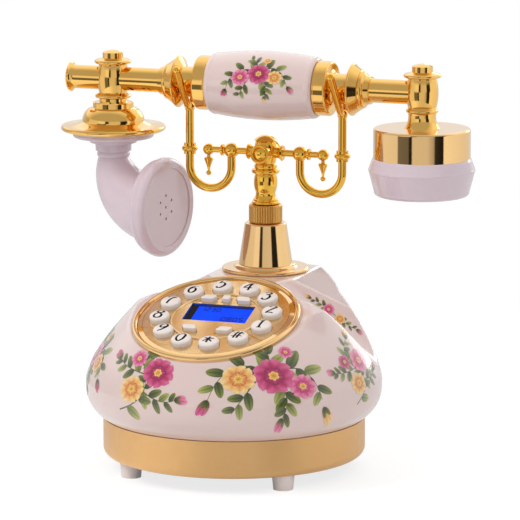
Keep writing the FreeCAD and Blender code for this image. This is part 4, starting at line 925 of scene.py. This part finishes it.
# %% Strokes of the numbers
# A sign is drawn in a box that is one unit wide and one and a half units high.
SIX = [(0.84, 1.42), (0.5, 1.26), (0.2, 0.84), (0.13, 0.4), (0.34, 0.03), (0.68, 0.04), (0.87, 0.4),
       (0.72, 0.78), (0.45, 0.84), (0.17, 0.56)]
STROKES = {
    "1": [[(0.25, 1.24), (0.55, 1.5)], [(0.55, 1.5), (0.55, 0.0)], [(0.28, 0.02), (0.82, 0.02)]],
    "2": [[(0.14, 1.12), (0.22, 1.4), (0.5, 1.5), (0.8, 1.36), (0.82, 1.05), (0.55, 0.55), (0.1, 0.05)],
          [(0.1, 0.07), (0.5, 0.1), (0.92, 0.05)]],
    "3": [[(0.14, 1.22), (0.3, 1.45), (0.55, 1.5), (0.8, 1.28), (0.7, 0.95), (0.38, 0.82)],
          [(0.38, 0.82), (0.8, 0.72), (0.9, 0.4), (0.7, 0.06), (0.35, 0.0), (0.1, 0.22)]],
    "4": [[(0.66, 1.5), (0.05, 0.42)], [(0.05, 0.42), (0.97, 0.42)], [(0.66, 1.5), (0.66, 0.0)]],
    "5": [[(0.3, 1.46), (0.85, 1.46)], [(0.3, 1.46), (0.22, 0.84)],
          [(0.22, 0.84), (0.55, 0.96), (0.85, 0.75), (0.87, 0.4), (0.62, 0.06), (0.3, 0.0), (0.08, 0.18)]],
    "6": [SIX],
    "7": [[(0.08, 1.2), (0.12, 1.45)], [(0.1, 1.44), (0.92, 1.44)],
          [(0.92, 1.44), (0.55, 0.8), (0.38, 0.0)]],
    "8": [[(0.5, 0.8), (0.2, 1.05), (0.24, 1.38), (0.5, 1.5), (0.76, 1.38), (0.8, 1.05), (0.5, 0.8),
           (0.14, 0.55), (0.16, 0.16), (0.5, 0.0), (0.84, 0.16), (0.86, 0.55), (0.5, 0.8)]],
    "9": [[(1 - x, 1.5 - y) for x, y in SIX]],
    "0": [[(0.5, 1.5), (0.17, 1.2), (0.1, 0.75), (0.17, 0.3), (0.5, 0.0), (0.83, 0.3), (0.9, 0.75),
           (0.83, 1.2), (0.5, 1.5)]],
    "star": [[(0.5, 1.35), (0.5, 0.15)], [(0.02, 1.1), (0.98, 0.4)], [(0.02, 0.4), (0.98, 1.1)]],
    "hash": [[(0.24, 0.1), (0.38, 1.4)], [(0.62, 0.1), (0.76, 1.4)], [(-0.08, 1.02), (1.1, 1.02)],
             [(-0.1, 0.48), (1.08, 0.48)]],
}


def smooth_line(corners, per_span=8):
    """A curve through all the corners: in each span a cubic whose end slopes aim from the corner before to
    the corner after."""
    p = np.array([corners[0], *corners, corners[-1]], dtype=float)
    t = np.linspace(0, 1, per_span, endpoint=False)[None, :, None]
    a, b, c, d = (p[i:len(p) - 3 + i, None, :] for i in range(4))
    spans = b + 0.5 * t * (c - a + t * (2 * a - 5 * b + 4 * c - d + t * (3 * (b - c) + d - a)))
    return np.concatenate([spans.reshape(-1, 2), [corners[-1]]])


def pen_stroke(corners, scale, thin=0.6, thick=1.45):
    """A ribbon along a curve: thin where it runs across, thick where it runs up or down, in millimetres."""
    line = smooth_line(corners) * scale
    along, across = ways(line)
    width = thin + (thick - thin) * np.abs(along[:, 1:])
    side = across * width / 2
    points = np.stack([line - side, line, line + side], 1).reshape(-1, 2)
    return points, grid_faces(len(line), 3)[:, ::-1]


print(len(STROKES), "signs")

# %% [markdown]
# A key's top is a shallow crown with a rounded shoulder. The sign follows that profile a hair above it,
# so no part of a stroke sinks in. It rides on its key's body, or it would stay behind when the key is
# pressed.

# %% Signs on the key tops
KEY_TOP = 4.5
KEY_RADIUS = 6.5
KEY_ROUND = 1.6
KEY_CROWN = 0.8
CROWN_EDGE = KEY_RADIUS - KEY_ROUND
CROWN_RADIUS = (CROWN_EDGE ** 2 + KEY_CROWN ** 2) / (2 * KEY_CROWN)
SIGN_SCALE = np.array([6.0, 5.9])
SIGN_MIDDLE = np.array([0.5, 0.75])
SIGN_SLANT = 0.12
PRINT_LIFT = 0.04


def key_top(radius):
    """Height of a key's top over the dial: a round crown, then a quarter circle down to the key's side."""
    crown = KEY_TOP - CROWN_RADIUS + np.sqrt(CROWN_RADIUS ** 2 - radius ** 2)
    past_edge = np.clip(radius - CROWN_EDGE, 0, KEY_ROUND)
    shoulder = KEY_TOP - KEY_CROWN - KEY_ROUND + np.sqrt(KEY_ROUND ** 2 - past_edge ** 2)
    return np.where(radius < CROWN_EDGE, crown, shoulder)


def join(sheets):
    """Several sheets of points and faces as one."""
    points = np.concatenate([sheet[0] for sheet in sheets])
    starts = np.cumsum([0] + [len(sheet[0]) for sheet in sheets[:-1]])
    faces = np.concatenate([sheet[1] + start for sheet, start in zip(sheets, starts)])
    return points, faces


def on_dial(x, y, height):
    """Places on the dial: x across it, y up it and a height over its plane."""
    across = np.array([1.0, 0.0, 0.0])
    return DIAL_CENTRE + np.outer(x, across) + np.outer(y, DIAL_UP) + np.outer(height, DIAL_NORMAL)


for sign, strokes in STROKES.items():
    key = "key_" + sign
    flat, faces = join([pen_stroke(corners, SIGN_SCALE) for corners in strokes])
    flat = flat - SIGN_SCALE * SIGN_MIDDLE
    flat[:, 0] += SIGN_SLANT * flat[:, 1]
    key_points = mesh_points(key) - DIAL_CENTRE
    across = (key_points[:, 0].min() + key_points[:, 0].max()) / 2
    up = ((key_points @ DIAL_UP).min() + (key_points @ DIAL_UP).max()) / 2
    height = key_top(np.hypot(flat[:, 0], flat[:, 1])) + PRINT_LIFT
    points = on_dial(flat[:, 0] + across, flat[:, 1] + up, height)
    new_piece("sign_" + sign, points, faces[:, ::-1], black_ink_and_painted_shadow, nodes[key]["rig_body"])
print(len(STROKES), "signs printed")

# %% [markdown]
# ## Figures on the display
# The display shows seven-bar figures, a little darker than its blue. Each bar is a thin strip; a figure
# is the set of bars that are on. Two short rows stand at the upper left and the lower right. Black
# painted shadow lies along the panel's left and upper edges, where the recess's walls shade it.

# %% Display figures
BARS = {"a": ((0, 2), (1, 2)), "b": ((1, 1), (1, 2)), "c": ((1, 0), (1, 1)), "d": ((0, 0), (1, 0)),
        "e": ((0, 0), (0, 1)), "f": ((0, 1), (0, 2)), "g": ((0, 1), (1, 1))}
FIGURES = {"0": "abcdef", "1": "bc", "2": "abged", "3": "abgcd", "5": "afgcd", "8": "abcdefg"}
BAR_GAP = 0.12
BAR_HALF_WIDTH = 0.16
FIGURE_PITCH = 1.7
# Each row has its figures, its left end, its foot and the width of a figure.
ROWS = [("1230", -13, 8.2, 2.0), ("0805", 3.4, -2.6, 2.3)]


def display_figure(figure, left, foot, size):
    """The bars of one figure: strips a third of its width wide, cut short at both ends."""
    sheets = []
    for bar in FIGURES[figure]:
        start, end = (np.array(corner, dtype=float) for corner in BARS[bar])
        along = end - start
        line = np.stack([start + BAR_GAP * along, end - BAR_GAP * along])
        side = BAR_HALF_WIDTH * np.array([-along[1], along[0]])
        points = np.stack([line - side, line + side], 1).reshape(-1, 2) * size + np.array([left, foot])
        sheets.append((points, grid_faces(2, 2)[:, ::-1]))
    return sheets


panel_points = mesh_points("display_panel") - DIAL_CENTRE
panel_top = (panel_points @ DIAL_NORMAL).max()
panel_left = panel_points[:, 0].min()
panel_foot = (panel_points @ DIAL_UP).min()
panel_head = (panel_points @ DIAL_UP).max()


def panel_print_and_shadow(name, flat, faces, material):
    """A flat sheet a hair above the panel, for the printed figures and for the painted shadow."""
    points = on_dial(flat[:, 0], flat[:, 1], np.full(len(flat), panel_top + PRINT_LIFT))
    return new_piece(name, points, faces, material, "base")


# Painted shadow: black strips, wide along the panel's left edge and thin along its top, stand for the shade
# that the display recess's walls cast on the panel.
SIDE_SHADOW = 4.5
TOP_SHADOW = 1.4
shadow_right = panel_left + SIDE_SHADOW
shadow_foot = panel_head - TOP_SHADOW
border = np.array([(panel_left, panel_foot), (shadow_right, panel_foot), (shadow_right, shadow_foot),
                   (-panel_left, shadow_foot), (-panel_left, panel_head), (panel_left, panel_head)])
panel_print_and_shadow("display_border", border, np.array([[0, 1, 2, 5], [2, 3, 4, 5]]), black_ink_and_painted_shadow)
bars = []
for text, left, foot, size in ROWS:
    for place, figure in enumerate(text):
        bars += display_figure(figure, left + FIGURE_PITCH * size * place, foot, size)
flat, faces = join(bars)
panel_print_and_shadow("display_figures", flat, faces[:, ::-1], display_ink)
print("display lies", round(float(panel_top), 2), "mm from the dial's plane")

# %% [markdown]
# ## Studio
# A small floor of white paper keeps the shadow, and everything past it is white to the camera. Polished
# gold needs more: a mirror in a plain white room looks like yellow paint. So mirrors see the floor in
# soft tones set by the compass direction: brighter at the front left, dimmer at the front right and
# behind.

# %% Floor
FLOOR_RADIUS = 0.55
FLOOR_TONES = [(-180, 0.6), (-115, 0.7), (-70, 1.0), (-38, 1.1), (-12, 0.9), (12, 0.66), (45, 0.6),
               (80, 0.72), (125, 0.75), (180, 0.6)]


def turn_of(tree, direction):
    """The compass direction of a vector, from 0 to 1 for azimuths from -180 to 180 degrees, with how far
    it points forwards and upwards."""
    parts = add(tree, "SeparateXYZ", {0: direction})
    forwards = add(tree, "Math", {0: parts.outputs["Y"], 1: -1.0}, operation="MULTIPLY").outputs[0]
    compass = add(tree, "Math", {0: parts.outputs["X"], 1: forwards}, operation="ARCTAN2").outputs[0]
    whole_turn = {"Value": compass, "From Min": -math.pi, "From Max": math.pi}
    turn = add(tree, "MapRange", whole_turn).outputs["Result"]
    return turn, forwards, parts.outputs["Z"]


def grey(level):
    """A grey as linear red, green, blue and alpha."""
    return (level, level, level, 1)


def ring_of_walls(tree, turn, walls):
    """Grey levels by compass direction: each wall has an azimuth in degrees and a level, blended between."""
    ring = add(tree, "ValToRGB", {"Fac": turn})
    elements = ring.color_ramp.elements
    while len(elements) < len(walls):
        elements.new(0.5)
    for element, (azimuth, level) in zip(elements, walls):
        element.position = (azimuth + 180) / 360
        element.color = grey(level)
    return ring.outputs["Color"]


def white_paper():
    """White paper. The camera sees it brightened, so that it is white and keeps a soft shadow; mirrors
    see it in soft tones round the object, as if other things stood about in the room."""
    material, tree, shader, place = new_material("white_paper")
    paper = two_tones(tree, place, "f3f3f3", "f7f7f7", size=3)
    plug(tree, shader, {"Base Color": paper, "Roughness": 0.9})
    rays = add(tree, "LightPath")
    tone = ring_of_walls(tree, turn_of(tree, place)[0], FLOOR_TONES)
    shown = add(tree, "Mix", {0: rays.outputs["Is Camera Ray"], 6: tone, 7: grey(1)}, data_type="RGBA")
    glow = add(tree, "Emission", {"Color": shown.outputs[2], "Strength": 1.2})
    seen = add(tree, "Math", {0: rays.outputs["Is Camera Ray"], 1: rays.outputs["Is Glossy Ray"]},
               operation="MAXIMUM")
    share = add(tree, "Math", {0: seen.outputs[0], 1: 0.65}, operation="MULTIPLY")
    mixed = add(tree, "MixShader", {0: share.outputs[0], 1: shader.outputs[0], 2: glow.outputs[0]})
    plug(tree, tree.nodes["Material Output"], {"Surface": mixed.outputs[0]})
    return material


u = np.linspace(0, 2 * math.pi, 97)[:-1]
disc = FLOOR_RADIUS * np.stack([np.cos(u), np.sin(u), 0 * u], -1)
floor_mesh = bpy.data.meshes.new("floor")
floor_mesh.from_pydata(disc.tolist(), [], [list(range(len(disc)))])
floor_mesh.materials.append(white_paper())
floor = link_object("floor", floor_mesh)
print("floor", 2 * FLOOR_RADIUS, "m across")

# %% [markdown]
# The light is soft, as in a studio: a key lamp at the upper left, a weaker fill at the right and a lamp
# behind that parts the object from the white. Each is a square soft box that faces the object.

# %% Lamps
LAMP_DISTANCE = 1.6


def soft_lamp(name, azimuth, elevation, size, watts):
    """A square soft box that looks at the middle of the object. Mirrors don't see it: they see the tent."""
    data = bpy.data.lights.new(name, "AREA")
    data.size = size
    data.energy = watts
    lamp = link_object(name, data)
    lamp.visible_glossy = False
    aim(lamp, azimuth, elevation, LAMP_DISTANCE)


soft_lamp("key_lamp", -45, 45, size=0.6, watts=9.5)
soft_lamp("fill_lamp", 60, 35, size=0.5, watts=3)
soft_lamp("rear_lamp", 170, 60, size=0.7, watts=4)
print("three soft lamps")

# %% [markdown]
# The rest of the room is a light tent with dark gaps between its panels, which draw the dark streaks in
# the gold. Two rings of walls, one below the horizon and one above it, carry a grey level for each
# compass direction. Behind the object stand three round cards, each with an azimuth, an elevation, a
# radius in degrees and a level: bright ones light the body's edges, and a dark one keeps the facets
# calm.

# %% White tent with dark gaps
LOW_WALLS = [(-180, 0.7), (-100, 0.6), (-84, 0.95), (-43, 0.9), (-41, 0.2), (-15, 0.17), (-13, 0.02),
             (-7, 0.02), (-5.5, 0.8), (30, 0.78), (46, 0.45), (48, 0.04), (69, 0.01), (70.5, 1.1),
             (110, 1.0), (180, 0.8)]
HIGH_WALLS = [(-180, 1.0), (-120, 0.7), (-84, 0.5), (-78, 0.85), (-38, 0.9), (-34, 1.05), (-11, 1.05),
              (-8, 0.04), (3, 0.04), (6, 0.75), (46, 0.8), (49, 0.02), (73, 0.02), (77, 1.05),
              (110, 1.0), (180, 1.0)]
CARDS = [(165, 15, 11, 3.2), (-177, 22, 6, 0.3), (-168, 16, 3.5, 3.0)]
SOFT_LIGHT = 0.55


def mirror_room(tree):
    """What mirrors see: two rings of walls under a ceiling that is darker in front, then the round cards."""
    direction = add(tree, "TexCoord").outputs["Generated"]
    turn, forwards, height = turn_of(tree, direction)
    low = ring_of_walls(tree, turn, LOW_WALLS)
    high = ring_of_walls(tree, turn, HIGH_WALLS)
    step = add(tree, "MapRange", {"Value": height, "From Min": -0.06, "From Max": -0.02}).outputs["Result"]
    walls = add(tree, "Mix", {0: step, 6: low, 7: high}, data_type="RGBA").outputs[2]
    ceiling = add(tree, "MapRange", {"Value": forwards, "From Min": -0.4, "From Max": 0.3, "To Min": 1.2,
                                     "To Max": 0.55}).outputs["Result"]
    overhead = add(tree, "MapRange", {"Value": height, "From Min": 0.2, "From Max": 0.32}).outputs["Result"]
    room = add(tree, "Mix", {0: overhead, 6: walls, 7: ceiling}, data_type="RGBA").outputs[2]
    for azimuth, elevation, radius, level in CARDS:
        middle = back_vector(azimuth, elevation)
        near = add(tree, "VectorMath", {0: direction, 1: middle}, operation="DOT_PRODUCT").outputs["Value"]
        edge = math.cos(math.radians(radius))
        inside = add(tree, "Math", {0: near, 1: edge}, operation="GREATER_THAN").outputs[0]
        room = add(tree, "Mix", {0: inside, 6: room, 7: grey(level)}, data_type="RGBA").outputs[2]
    return room


def white_tent():
    """White for the camera, an even grey for soft light, and the room of walls and cards for mirrors."""
    world = bpy.data.worlds.new("tent")
    scene.world = world
    world.use_nodes = True
    tree = world.node_tree
    tree.nodes.clear()
    rays = add(tree, "LightPath").outputs
    unseen = add(tree, "Mix", {0: rays["Is Glossy Ray"], 6: grey(SOFT_LIGHT), 7: mirror_room(tree)},
                 data_type="RGBA").outputs[2]
    shown = add(tree, "Mix", {0: rays["Is Camera Ray"], 6: unseen, 7: grey(1)}, data_type="RGBA").outputs[2]
    sky = add(tree, "Background", {"Color": shown, "Strength": 1.0})
    add(tree, "OutputWorld", {"Surface": sky.outputs[0]})


white_tent()
print("white tent")
